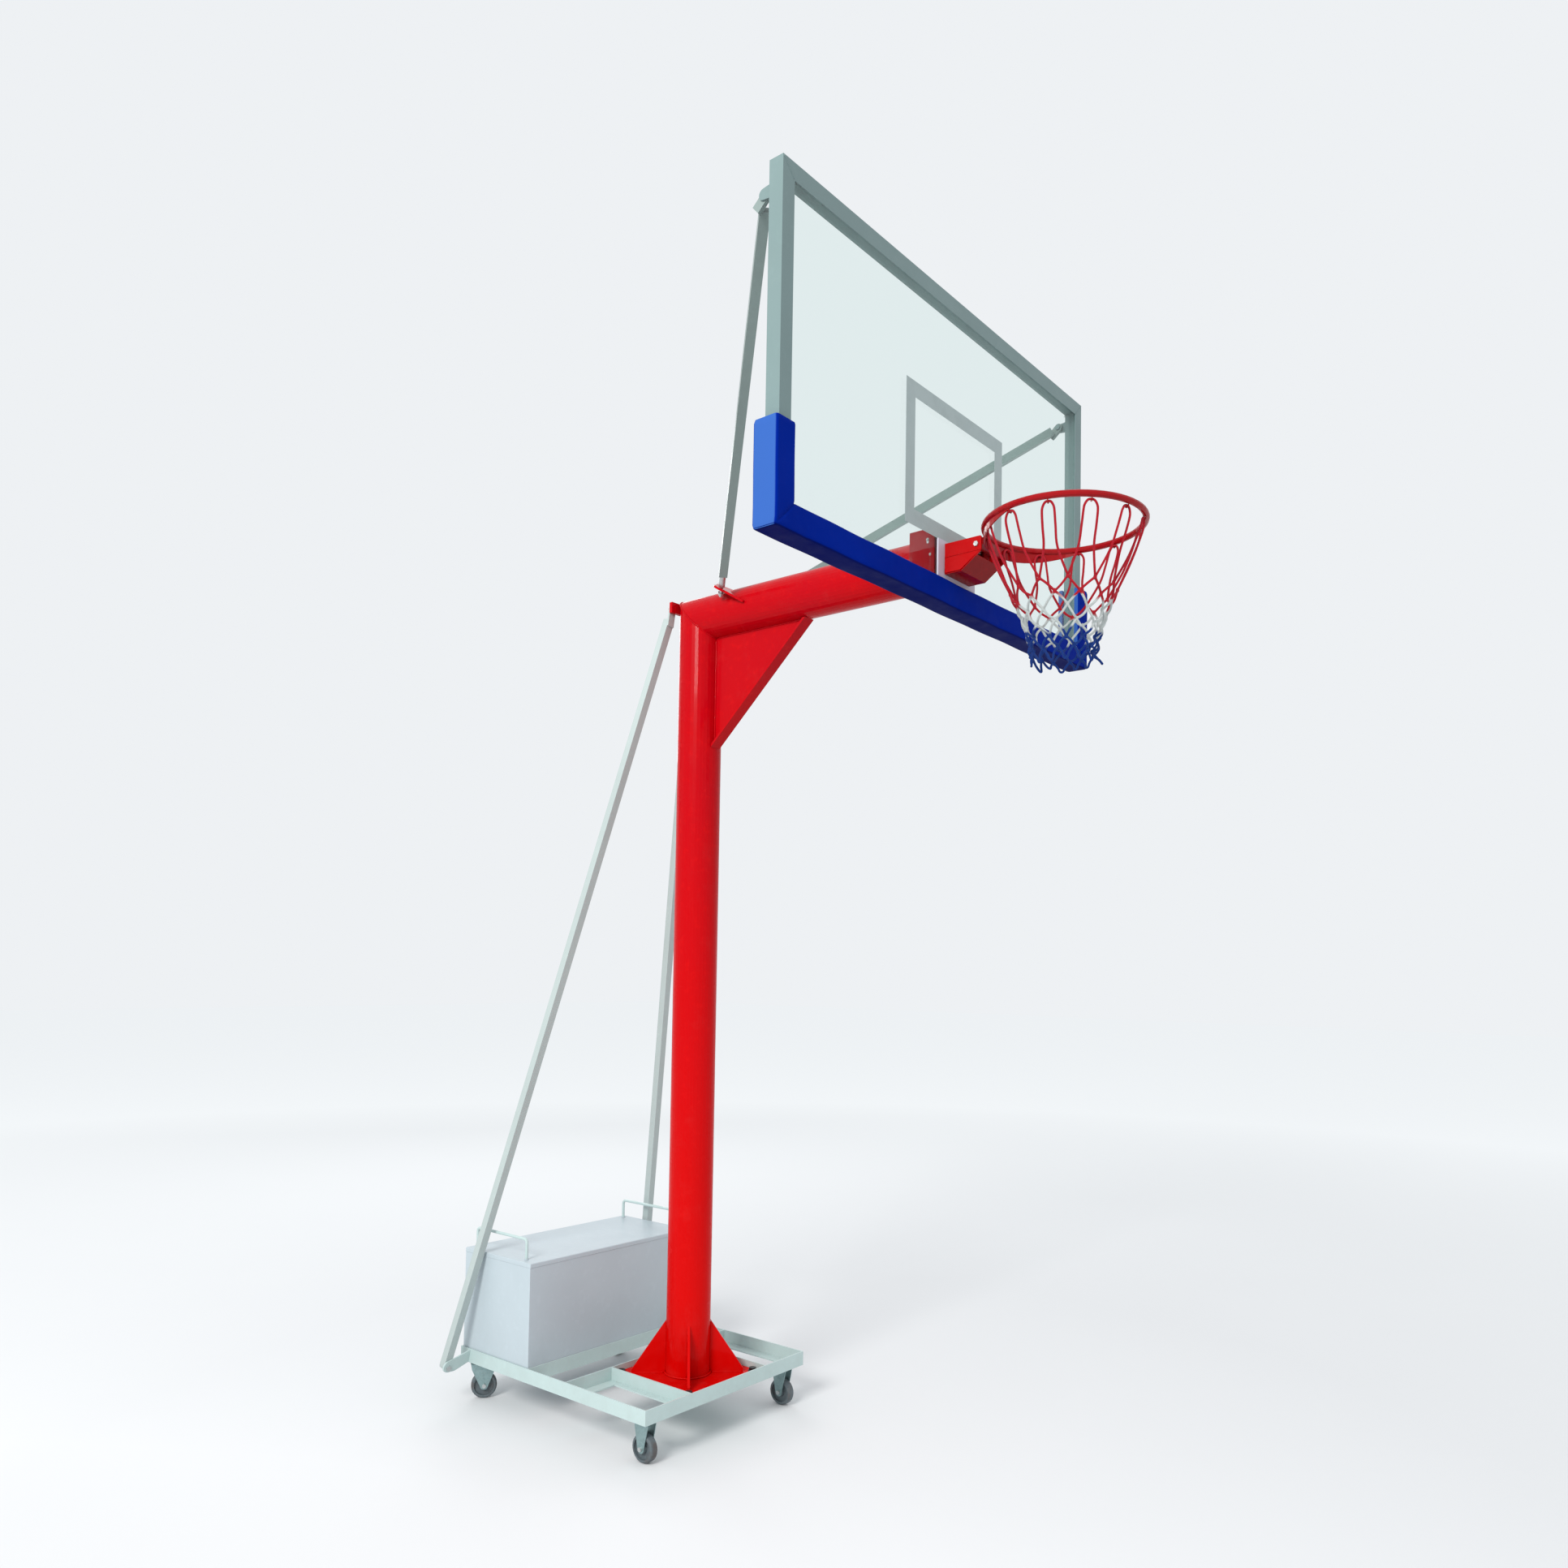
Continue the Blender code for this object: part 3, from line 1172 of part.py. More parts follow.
def build_rim_spring():
    """A coil between the ring's spring arm and the bracket's roof."""
    low = HINGE_Z - SPRING_ARM_DROP + GAP + SPRING_WIRE_RADIUS
    high = BRACKET_TOP - BRACKET_SHEET - GAP - SPRING_WIRE_RADIUS
    per_turn = 9
    count = SPRING_TURNS * per_turn
    points = []
    for i in range(count + 1):
        angle = 2 * math.pi * i / per_turn
        z = low + (high - low) * i / count
        points.append((SPRING_RADIUS * math.cos(angle), -SPRING_Y + SPRING_RADIUS * math.sin(angle), z))
    least = (high - low) / SPRING_TURNS - 2 * SPRING_WIRE_RADIUS
    print(f"rim spring: least gap between turns {least:.4f} m")
    keep(smooth(tube("rim_spring", points, SPRING_WIRE_RADIUS, 1)), ZINC)


# Height and radius of each row of knots, from the hooks down
NET_ROWS = (
    (NET_TOP, NET_TOP_RADIUS),
    (2.832, 0.158),
    (2.795, 0.141),
    (2.755, 0.124),
    (2.715, 0.110),
    (2.677, 0.099),
    (2.642, 0.090),
    (2.612, 0.082),
)


def build_net(ring):
    """The net: twelve loops on the hooks, then rows of diamonds that draw in towards the bottom."""
    shape = bmesh.new()
    count = HOOK_COUNT
    rows = []
    for index, (height, radius) in enumerate(NET_ROWS):
        row = []
        shift = 0.5 if index % 2 == 0 else 0.0
        for k in range(count):
            angle = 2 * math.pi * (k + shift) / count
            if index == 0:
                spread = NET_LOOP_HALF_WIDTH / radius
                pair = [ring_point(angle + s * spread, radius, height) for s in (-1, 1)]
                row.append([shape.verts.new(p) for p in pair])
            else:
                row.append([shape.verts.new(ring_point(angle, radius, height))])
        rows.append(row)
    for index in range(len(rows) - 2):
        top, middle, bottom = rows[index], rows[index + 1], rows[index + 2]
        for k in range(count):
            if index % 2 == 0:
                left, right = middle[k], middle[(k + 1) % count]
            else:
                left, right = middle[(k - 1) % count], middle[k]
            corner_top = top[k]
            shape.faces.new((*corner_top, right[0], bottom[k][0], left[0]))
    net = from_bmesh("net", shape)
    wire = net.modifiers.new("cords", "WIREFRAME")
    wire.thickness = NET_CORD
    wire.use_boundary = True
    wire.use_replace = True
    wire.use_even_offset = False
    set_origin(net, (0, -HINGE_Y, HINGE_Z))
    net.location = (0, 0, 0)
    return keep(net, NET_CORD_PAINT, ring)


# Casters


def wheel(name):
    """A tyre on a thin web with a wide hub, turned round local Z and bored for the axle."""
    bore = AXLE_RADIUS + AXLE_CLEARANCE
    half = WHEEL_WIDTH / 2
    hub = HUB_WIDTH / 2
    web = WEB_WIDTH / 2
    upper = [
        (bore, hub),
        (HUB_RADIUS, hub),
        (HUB_RADIUS + OVERLAP, web),
        (TYRE_INNER_RADIUS - OVERLAP, web),
        (TYRE_INNER_RADIUS, half),
        (WHEEL_RADIUS - TYRE_EDGE, half),
        (WHEEL_RADIUS - TYRE_EDGE / 4, half - TYRE_EDGE_DEPTH),
        (WHEEL_RADIUS, half - 2 * TYRE_EDGE_DEPTH),
    ]
    profile = upper + [(r, -z) for r, z in reversed(upper)]
    return turned(name, profile, 24)


def axle(name, half_length):
    """A bolt with a hexagon head and a nut, along local Z."""
    near, far = half_length, half_length + AXLE_HEAD_HEIGHT
    shank = rod(name, (0, 0, -near - OVERLAP), (0, 0, near + OVERLAP), AXLE_RADIUS, 16)
    head = rod(name + "_head", (0, 0, near), (0, 0, far), AXLE_HEAD_RADIUS, 6)
    nut = rod(name + "_nut", (0, 0, -far), (0, 0, -near), AXLE_HEAD_RADIUS, 6)
    for piece in (head, nut):
        piece.parent = shank
    return fuse(shank, head, nut)


def fork_cheeks(name, outline, hole_at, parent):
    """Both side plates of a fork, in the plane of local X and Z, with the axle's hole."""
    half = FORK_INNER_WIDTH / 2
    plates = []
    for side, sign in sides():
        middle = sign * (half + FORK_SHEET / 2)
        plate = prism(f"{name}_{side}_cheek", outline, FORK_SHEET, "XZ", middle)
        plate.parent = parent
        plates.append(plate)
    past = half + FORK_SHEET + OVERSHOOT
    ends = [(hole_at[0], sign * past, hole_at[1]) for sign in (-1, 1)]
    hole = rod(name + "_axle_hole", *ends, AXLE_RADIUS + GAP, 16)
    hole.parent = parent
    return plates, hole


def put_wheel_and_axle(prefix, side, parent, place):
    """Wheel and axle on a fork; local Z of each lies along the fork's Y."""
    lie = Matrix.Rotation(math.radians(90), 4, "X")
    roller = wheel(f"{prefix}_wheel_{side}")
    bolt = axle(f"{prefix}_axle_{side}", FORK_INNER_WIDTH / 2 + FORK_SHEET + GAP)
    for made, material in ((roller, TREAD), (bolt, ZINC)):
        made.matrix_local = Matrix.Translation(place) @ lie
        keep(made, material, parent)


def build_front_casters():
    """Fixed forks: a plate under the frame and two tapered cheeks. Local X runs along the stand's Y."""
    length, width = CASTER_PLATE_LENGTH / 2, CASTER_PLATE_WIDTH / 2
    outer = FORK_INNER_WIDTH / 2 + FORK_SHEET
    top = CASTER_PLATE_BOTTOM - OVERLAP
    shoulder = top - FORK_SHOULDER_DROP
    outline = [(FRONT_FORK_TOP, top), (-FRONT_FORK_TOP, top), (-FRONT_FORK_SHOULDER, shoulder)]
    outline += arc((0, WHEEL_RADIUS), FORK_AXLE_ROUNDING, 190, 350, 8)
    outline += [(FRONT_FORK_SHOULDER, shoulder)]
    for side, sign in sides():
        name = "front_fork_" + side
        fork = box(name, (-length, -width, CASTER_PLATE_BOTTOM), (length, width, CASTER_TOP))
        web_low = (-FRONT_FORK_TOP, -outer, CASTER_PLATE_BOTTOM - FORK_SHEET)
        web = box("front_web_" + side, web_low, (FRONT_FORK_TOP, outer, CASTER_PLATE_BOTTOM + OVERLAP))
        web.parent = fork
        plates, hole = fork_cheeks(name, outline, (0, WHEEL_RADIUS), fork)
        cut(fuse(fork, web, *plates), hole)
        fork.location = (sign * FRONT_CASTER_X, FRONT_CASTER_Y, 0)
        fork.rotation_euler.z = math.radians(90)
        keep(fork, ZINC)
        put_wheel_and_axle("front", side, fork, Vector((0, 0, WHEEL_RADIUS)))


def build_rear_casters():
    """Swivelling forks under a bearing, with a brake pedal. Local X runs along the trail."""
    for side, sign in sides():
        spot = Vector((sign * REAR_CASTER_X, REAR_CASTER_Y, 0))
        plate = build_swivel_plate(side)
        plate.location = spot
        keep(plate, ZINC)
        fork = build_swivel_fork(side)
        fork.location = spot
        fork.rotation_euler.z = SWIVEL_TURN if sign < 0 else math.pi - SWIVEL_TURN
        keep(fork, ZINC)
        put_wheel_and_axle("rear", side, fork, Vector((SWIVEL_TRAIL, 0, WHEEL_RADIUS)))
        build_pedal(side, fork)


def swivel_heights():
    """The bearing cup's underside, and the top and underside of the fork's web."""
    cup_bottom = CASTER_PLATE_BOTTOM - BEARING_HEIGHT
    web_top = cup_bottom - GAP
    return cup_bottom, web_top, web_top - FORK_SHEET


def build_swivel_plate(side):
    """The fixed half of a swivel: plate, bearing cup and the kingpin with its head under the fork."""
    length, width = CASTER_PLATE_LENGTH / 2, CASTER_PLATE_WIDTH / 2
    cup_bottom, _, web_bottom = swivel_heights()
    name = "rear_caster_plate_" + side
    plate = box(name, (-width, -length, CASTER_PLATE_BOTTOM), (width, length, CASTER_TOP))
    inside = (0, 0, CASTER_PLATE_BOTTOM + OVERLAP)
    head_top = web_bottom - GAP
    head_low = (0, 0, head_top - KINGPIN_HEAD_HEIGHT)
    cup_radius = BEARING_RADIUS - BEARING_TAPER
    pieces = [
        rod("cup_" + side, (0, 0, cup_bottom), inside, cup_radius, 32, BEARING_RADIUS),
        rod("kingpin_" + side, (0, 0, head_top - OVERLAP), inside, KINGPIN_RADIUS, 20),
        rod("kingpin_head_" + side, head_low, (0, 0, head_top), KINGPIN_HEAD_RADIUS, 20),
    ]
    for piece in pieces:
        piece.parent = plate
    return fuse(plate, *pieces)


def build_swivel_fork(side):
    """The turning half of a swivel: a disc under the bearing and two cheeks that reach to the pedal."""
    _, web_top, web_bottom = swivel_heights()
    outer = FORK_INNER_WIDTH / 2 + FORK_SHEET
    ahead = PEDAL_PIVOT_AHEAD
    front = ahead + PEDAL_CHEEK_MARGIN
    name = "rear_fork_" + side
    fork = rod(name, (0, 0, web_bottom), (0, 0, web_top), BEARING_RADIUS, 32)
    web_high = (ahead - REAR_WEB_SHORT, outer, web_top)
    web = box(name + "_web", (-REAR_WEB_BACK, -outer, web_bottom), web_high)
    web.parent = fork
    shoulder = web_top - FORK_SHOULDER_DROP
    outline = [(front, web_top), (-REAR_FORK_BACK, web_top), (-REAR_FORK_SHOULDER, shoulder)]
    outline += arc((SWIVEL_TRAIL, WHEEL_RADIUS), FORK_AXLE_ROUNDING, 200, 350, 8)
    outline += [(front, PEDAL_PIVOT_HEIGHT - PEDAL_CHEEK_MARGIN)]
    plates, hole = fork_cheeks(name, outline, (SWIVEL_TRAIL, WHEEL_RADIUS), fork)
    fuse(fork, web, *plates)
    pivot = [(ahead, sign * (outer + OVERSHOOT), PEDAL_PIVOT_HEIGHT) for sign in (-1, 1)]
    pivot_hole = rod(name + "_pivot_hole", *pivot, AXLE_RADIUS + GAP, 16)
    king = [(0, 0, web_bottom - OVERSHOOT), (0, 0, web_top + OVERSHOOT)]
    bore = rod(name + "_king_hole", *king, KINGPIN_RADIUS + GAP, 20)
    for cutter in (pivot_hole, bore):
        cutter.parent = fork
    return cut(fork, hole, pivot_hole, bore)


def build_pedal(side, fork):
    """The brake lever between the fork's cheeks; its pin turns in both of them. The origin is the pin."""
    outer = FORK_INNER_WIDTH / 2 + FORK_SHEET
    name = "brake_pedal_" + side
    pin = rod(name, (0, -outer, 0), (0, outer, 0), AXLE_RADIUS, 16)
    root = PEDAL_ROOT
    lever = [
        (-root, root),
        (-root, -root),
        (root, -root),
        (PEDAL_LENGTH, -PEDAL_DROP - PEDAL_THICKNESS),
        (PEDAL_LENGTH + PEDAL_THICKNESS, -PEDAL_DROP),
        (root, root),
    ]
    blade = prism(name + "_blade", lever, PEDAL_WIDTH, "XZ")
    blade.parent = pin
    fuse(pin, blade)
    pin.location = (PEDAL_PIVOT_AHEAD, 0, PEDAL_PIVOT_HEIGHT)
    keep(pin, ZINC, fork)


def build():
    side_rails = build_outer_rails()
    build_inner_rails()
    build_brace_lugs(side_rails)
    build_column_foot()
    build_column_and_arm()
    build_knee_gusset()
    build_braces()
    build_ballast_box()
    build_board()
    build_board_lugs()
    build_pads()
    build_arm_head()
    build_saddle()
    build_stays()
    build_rim_bracket()
    ring = build_ring()
    build_hinge_bolt()
    build_rim_spring()
    build_net(ring)
    build_front_casters()
    build_rear_casters()
    bpy.context.view_layer.update()


build()
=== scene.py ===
import math
import random

import bmesh
import bpy
from mathutils import Matrix, Vector


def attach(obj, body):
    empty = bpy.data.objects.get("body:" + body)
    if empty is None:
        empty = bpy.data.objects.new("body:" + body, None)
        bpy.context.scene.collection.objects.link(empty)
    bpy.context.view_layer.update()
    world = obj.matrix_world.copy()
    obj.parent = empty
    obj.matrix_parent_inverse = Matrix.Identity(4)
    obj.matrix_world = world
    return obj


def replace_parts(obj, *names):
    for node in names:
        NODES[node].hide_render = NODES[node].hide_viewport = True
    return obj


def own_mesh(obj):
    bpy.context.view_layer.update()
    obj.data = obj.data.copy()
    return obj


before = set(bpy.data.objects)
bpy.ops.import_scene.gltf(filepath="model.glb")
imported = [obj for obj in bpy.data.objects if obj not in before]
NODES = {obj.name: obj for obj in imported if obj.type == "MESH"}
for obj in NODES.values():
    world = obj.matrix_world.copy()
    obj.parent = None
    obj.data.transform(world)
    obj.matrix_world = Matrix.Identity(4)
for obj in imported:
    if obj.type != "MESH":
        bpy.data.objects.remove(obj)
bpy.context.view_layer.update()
SIDES = ("left", "right")

# Places of the CAD, in metres. New pieces are drawn round the column's axis, which stands AXIS_Y behind the origin;
# the ring's centre and the board's face lie this far in front of it.
AXIS_Y = 0.4685
RING_CENTRE = 1.501
BOARD_FACE = 1.125
BOARD_BOTTOM = 2.860
BOARD_HEIGHT = 1.0
BOARD_HALF = 0.900
BOARD_DEPTH = 0.048
PIPE_RADIUS = 0.0825
ARM_HEIGHT = 3.010

# The camera as it stood for the photo: its place in metres, its angles in radians, and its focal length, centre
# and picture width in pixels
CAMERA_PLACE = (-3.2631, -3.1095 + AXIS_Y, 1.6817)
CAMERA_TURN, CAMERA_RISE, CAMERA_ROLL = 0.8798, 0.0400, 0.0163
FOCAL, CENTRE_X, CENTRE_Y, PICTURE = 1463.98, 960.61, 1136.18, 1932
SENSOR_MM = 36

LIGHT_SIZE = 3.0


def make_camera():
    turn, rise, roll = CAMERA_TURN, CAMERA_RISE, CAMERA_ROLL
    ahead = Vector((math.sin(turn) * math.cos(rise), math.cos(turn) * math.cos(rise), math.sin(rise)))
    right = Vector((math.cos(turn), -math.sin(turn), 0))
    up = right.cross(ahead)
    across = right * math.cos(roll) + up * math.sin(roll)
    upward = up * math.cos(roll) - right * math.sin(roll)
    data = bpy.data.cameras.new("photo_camera")
    data.sensor_fit = "HORIZONTAL"
    data.sensor_width = SENSOR_MM
    data.lens = SENSOR_MM * FOCAL / PICTURE
    data.shift_x = (PICTURE / 2 - CENTRE_X) / PICTURE
    data.shift_y = (CENTRE_Y - PICTURE / 2) / PICTURE
    data.clip_start, data.clip_end = 0.1, 200
    camera = bpy.data.objects.new("photo_camera", data)
    bpy.context.scene.collection.objects.link(camera)
    place = Matrix((across, upward, -ahead)).transposed().to_4x4()
    place.translation = CAMERA_PLACE
    camera.matrix_world = place
    bpy.context.scene.camera = camera


def area_light(name, place, aim, power, colour=(1, 1, 1)):
    data = bpy.data.lights.new(name, "AREA")
    data.shape = "DISK"
    data.size = LIGHT_SIZE
    data.energy = power
    data.color = colour
    light = bpy.data.objects.new(name, data)
    bpy.context.scene.collection.objects.link(light)
    light.location = place
    light.rotation_mode = "QUATERNION"
    light.rotation_quaternion = (Vector(aim) - Vector(place)).to_track_quat("-Z", "Y")


def make_floor():
    """A pale floor just under the wheels, painted lighter far off where the key light fades, and painted darker
    where the key light would burn it out.
    """
    reach, sink = 40.0, 0.0005
    corners = [(-reach, -reach, 0), (reach, -reach, 0), (reach, reach, 0), (-reach, reach, 0)]
    mesh = bpy.data.meshes.new("floor")
    mesh.from_pydata(corners, [], [(0, 1, 2, 3)])
    floor = bpy.data.objects.new("floor", mesh)
    bpy.context.scene.collection.objects.link(floor)
    floor.location.z = -sink
    look = Look("floor_pale", (0.72, 0.73, 0.74), 0.75)
    look.tint(look.noise(1.2, 3), (0.69, 0.70, 0.71), 0.35)
    # Painted light: the floor grows lighter far off, where the key light fades.
    look.tint(look.between(look.distance_from((0, 0, 0)), 2.5, 11.0), (0.99, 1.0, 1.0))
    # Painted shade: the floor is darker round the foot of the key light.
    look.tint(look.between(look.distance_from((-5.4, -1.0, 0)), 4.8, 0.5), (0.45, 0.455, 0.46))
    look.set("Specular IOR Level", 0.0)
    mesh.materials.append(look.material)


def make_studio():
    scene = bpy.context.scene
    scene.view_settings.view_transform = "Standard"
    scene.world = bpy.data.worlds.new("studio")
    scene.world.use_nodes = True
    back = scene.world.node_tree.nodes["Background"]
    back.inputs["Color"].default_value = (0.93, 0.955, 0.98, 1)
    back.inputs["Strength"].default_value = 0.92
    area_light("key", (-7.0, -1.2, 5.6), aim=(0, -0.2, 1.8), power=520, colour=(1.0, 0.985, 0.96))
    area_light("rim_light", (3.5, 5.5, 5.0), aim=(0, 0, 2.2), power=70)
    make_floor()


class Look:
    """A material made of nodes; patterns follow each piece's own coordinates, in metres."""

    def __init__(self, name, colour, roughness, metallic=0.0):
        self.material = bpy.data.materials.new(name)
        self.material.use_nodes = True
        self.tree = self.material.node_tree
        self.shader = self.tree.nodes["Principled BSDF"]
        self.coords = self.node("ShaderNodeTexCoord").outputs["Object"]
        self.colour = self.first_colour(colour)
        self.bump = None
        self.set("Roughness", roughness)
        self.set("Metallic", metallic)
        self.link(self.colour, self.shader.inputs["Base Color"])

    def node(self, kind, **settings):
        made = self.tree.nodes.new(kind)
        for key, value in settings.items():
            setattr(made, key, value)
        return made

    def link(self, start, end):
        self.tree.links.new(start, end)

    def set(self, socket, value):
        self.shader.inputs[socket].default_value = value

    def first_colour(self, colour):
        """One colour as a node's output, for tint to lay others over."""
        mix = self.node("ShaderNodeMix", data_type="RGBA")
        mix.inputs["Factor"].default_value = 0.0
        mix.inputs["A"].default_value = (*colour, 1)
        mix.inputs["B"].default_value = (*colour, 1)
        return mix.outputs["Result"]

    def noise(self, scale, detail=4, roughness=0.55):
        made = self.node("ShaderNodeTexNoise")
        made.inputs["Scale"].default_value = scale
        made.inputs["Detail"].default_value = detail
        made.inputs["Roughness"].default_value = roughness
        self.link(self.coords, made.inputs["Vector"])
        return made.outputs["Fac"]

    def cells(self, scale):
        made = self.node("ShaderNodeTexVoronoi")
        made.inputs["Scale"].default_value = scale
        self.link(self.coords, made.inputs["Vector"])
        return made.outputs["Distance"]

    def waves(self, scale, turn):
        """Slightly uneven bands, turned round the three axes."""
        mapping = self.node("ShaderNodeMapping")
        mapping.inputs["Rotation"].default_value = turn
        self.link(self.coords, mapping.inputs["Vector"])
        made = self.node("ShaderNodeTexWave", bands_direction="DIAGONAL")
        made.inputs["Scale"].default_value = scale
        made.inputs["Distortion"].default_value = 1.5
        self.link(mapping.outputs["Vector"], made.inputs["Vector"])
        return made.outputs["Fac"]

    def distance_from(self, place):
        made = self.node("ShaderNodeVectorMath", operation="DISTANCE")
        self.link(self.coords, made.inputs[0])
        made.inputs[1].default_value = place
        return made.outputs["Value"]

    def component(self, vector, letter):
        split = self.node("ShaderNodeSeparateXYZ")
        self.link(vector, split.inputs["Vector"])
        return split.outputs[letter]

    def axis(self, letter):
        """The place along one of the object's axes, in metres."""
        return self.component(self.coords, letter)

    def facing(self, letter):
        """How much a surface faces along one of the object's axes, from -1 to 1."""
        return self.component(self.node("ShaderNodeTexCoord").outputs["Normal"], letter)

    def between(self, value, low, high, out_low=0.0, out_high=1.0):
        """Stretches low to high over out_low to out_high, and stays at these beyond; low may be the larger one."""
        made = self.node("ShaderNodeMapRange", clamp=True)
        self.link(value, made.inputs["Value"])
        for key, number in (("From Min", low), ("From Max", high), ("To Min", out_low), ("To Max", out_high)):
            made.inputs[key].default_value = number
        return made.outputs["Result"]

    def combine(self, first, second, operation="MULTIPLY"):
        """Arithmetic on outputs of nodes or plain numbers."""
        made = self.node("ShaderNodeMath", operation=operation)
        for socket, value in zip(made.inputs, (first, second)):
            if isinstance(value, (int, float)):
                socket.default_value = value
            else:
                self.link(value, socket)
        return made.outputs["Value"]

    def tint(self, mask, colour, share=1.0):
        """Lays another colour over the present one where the mask is high."""
        mix = self.node("ShaderNodeMix", data_type="RGBA")
        self.link(self.combine(mask, share), mix.inputs["Factor"])
        self.link(self.colour, mix.inputs["A"])
        mix.inputs["B"].default_value = (*colour, 1)
        self.colour = mix.outputs["Result"]
        self.link(self.colour, self.shader.inputs["Base Color"])

    def vary_roughness(self, value, low, high):
        self.link(self.between(value, 0.3, 0.7, low, high), self.shader.inputs["Roughness"])

    def raise_by(self, height, depth):
        """Adds a height pattern to those before it; depth is in metres."""
        bump = self.node("ShaderNodeBump")
        bump.inputs["Strength"].default_value = 1.0
        bump.inputs["Distance"].default_value = depth
        self.link(height, bump.inputs["Height"])
        if self.bump is not None:
            self.link(self.bump.outputs["Normal"], bump.inputs["Normal"])
        self.bump = bump
        self.link(bump.outputs["Normal"], self.shader.inputs["Normal"])


DUST = (0.45, 0.43, 0.39)
MUD = (0.24, 0.22, 0.19)
CHIP = (0.16, 0.07, 0.035)


def shade(colour, factor, lift=0.0):
    return tuple(min(1, c * factor + lift) for c in colour)


def sprayed_paint(name, colour, roughness, wear, dirt_height=0.0, coat=0.0, specular=0.25, painted_shade_upper=None, painted_shade_beneath=None):
    """Enamel over steel: a slow drift of colour, orange peel, dust, chips, and splashes near the ground.

    The splashes reach up to dirt_height. With height the colour drifts to a painted shade, the upper colour, and
    where it faces down to a painted shade, the colour beneath.
    """
    look = Look(name, colour, roughness)
    # Painted shade: the colour darkens towards the top.
    if painted_shade_upper:
        look.tint(look.between(look.axis("Z"), 0.4, 2.6), painted_shade_upper)
    # Painted shade: the colour darkens where the surface faces down.
    if painted_shade_beneath:
        look.tint(look.between(look.facing("Z"), -0.35, -0.60), painted_shade_beneath, 0.85)
    look.tint(look.between(look.noise(2.2, 4), 0.35, 0.75), shade(colour, 0.84), 0.5)
    look.tint(look.between(look.noise(38, 3), 0.55, 0.75), shade(colour, 1.10, 0.004), 0.25)
    look.tint(look.between(look.noise(7.5, 6, 0.7), 0.56, 0.84), DUST, 0.06 * wear)
    if dirt_height:
        fade = look.between(look.axis("Z"), 0.06, dirt_height, 1.0, 0.0)
        look.tint(look.combine(fade, look.between(look.noise(16, 6, 0.7), 0.42, 0.72)), MUD, 0.24 * wear)
    spots = look.between(look.noise(110, 2, 0.4), 0.765, 0.790)
    where = look.between(look.noise(3.1, 2), 0.52, 0.64)
    look.tint(look.combine(spots, where), CHIP, 0.5 * wear)
    look.vary_roughness(look.noise(9, 4), max(0.05, roughness - 0.06), roughness + 0.09)
    look.raise_by(look.noise(120, 2, 0.5), 0.00002)
    look.set("Specular IOR Level", specular)
    if coat:
        look.set("Coat Weight", coat)
        look.set("Coat IOR", 1.35)
        look.set("Coat Roughness", 0.06)
    return look.material


def zinc_plating(name, colour):
    """Spangled plating, duller in patches and rusting in a few spots."""
    look = Look(name, colour, 0.34, 0.80)
    look.tint(look.between(look.cells(120), 0.2, 0.7), shade(colour, 1.22), 0.45)
    look.tint(look.between(look.noise(60, 5, 0.7), 0.50, 0.72), shade(colour, 0.6), 0.5)
    look.tint(look.between(look.noise(24, 6, 0.75), 0.64, 0.78), (0.28, 0.16, 0.08), 0.35)
    look.vary_roughness(look.noise(45, 4), 0.26, 0.55)
    look.raise_by(look.noise(320, 3), 0.00010)
    return look.material


def black_oxide():
    """Blackened steel, rubbed grey and rusting in spots."""
    look = Look("black_oxide", (0.018, 0.018, 0.020), 0.42, 0.35)
    look.tint(look.between(look.noise(150, 4), 0.52, 0.74), (0.10, 0.10, 0.10), 0.5)
    look.tint(look.between(look.noise(60, 5, 0.7), 0.60, 0.78), (0.16, 0.085, 0.045), 0.5)
    look.vary_roughness(look.noise(80, 3), 0.34, 0.60)
    look.raise_by(look.noise(400, 3), 0.00012)
    return look.material


def wheel_rubber():
    """Grey tyres, dusty and brown in patches, with a worn tread."""
    look = Look("wheel_rubber", (0.090, 0.115, 0.128), 0.45)
    look.tint(look.between(look.noise(55, 6, 0.7), 0.46, 0.74), (0.19, 0.205, 0.215), 0.40)
    look.tint(look.between(look.noise(18, 4, 0.6), 0.50, 0.66), (0.085, 0.055, 0.045), 0.6)
    look.tint(look.between(look.noise(180, 3), 0.60, 0.78), (0.03, 0.04, 0.045), 0.5)
    look.vary_roughness(look.noise(70, 4), 0.52, 0.80)
    look.raise_by(look.noise(520, 3), 0.00018)
    look.raise_by(look.noise(36, 4), 0.00030)
    return look.material


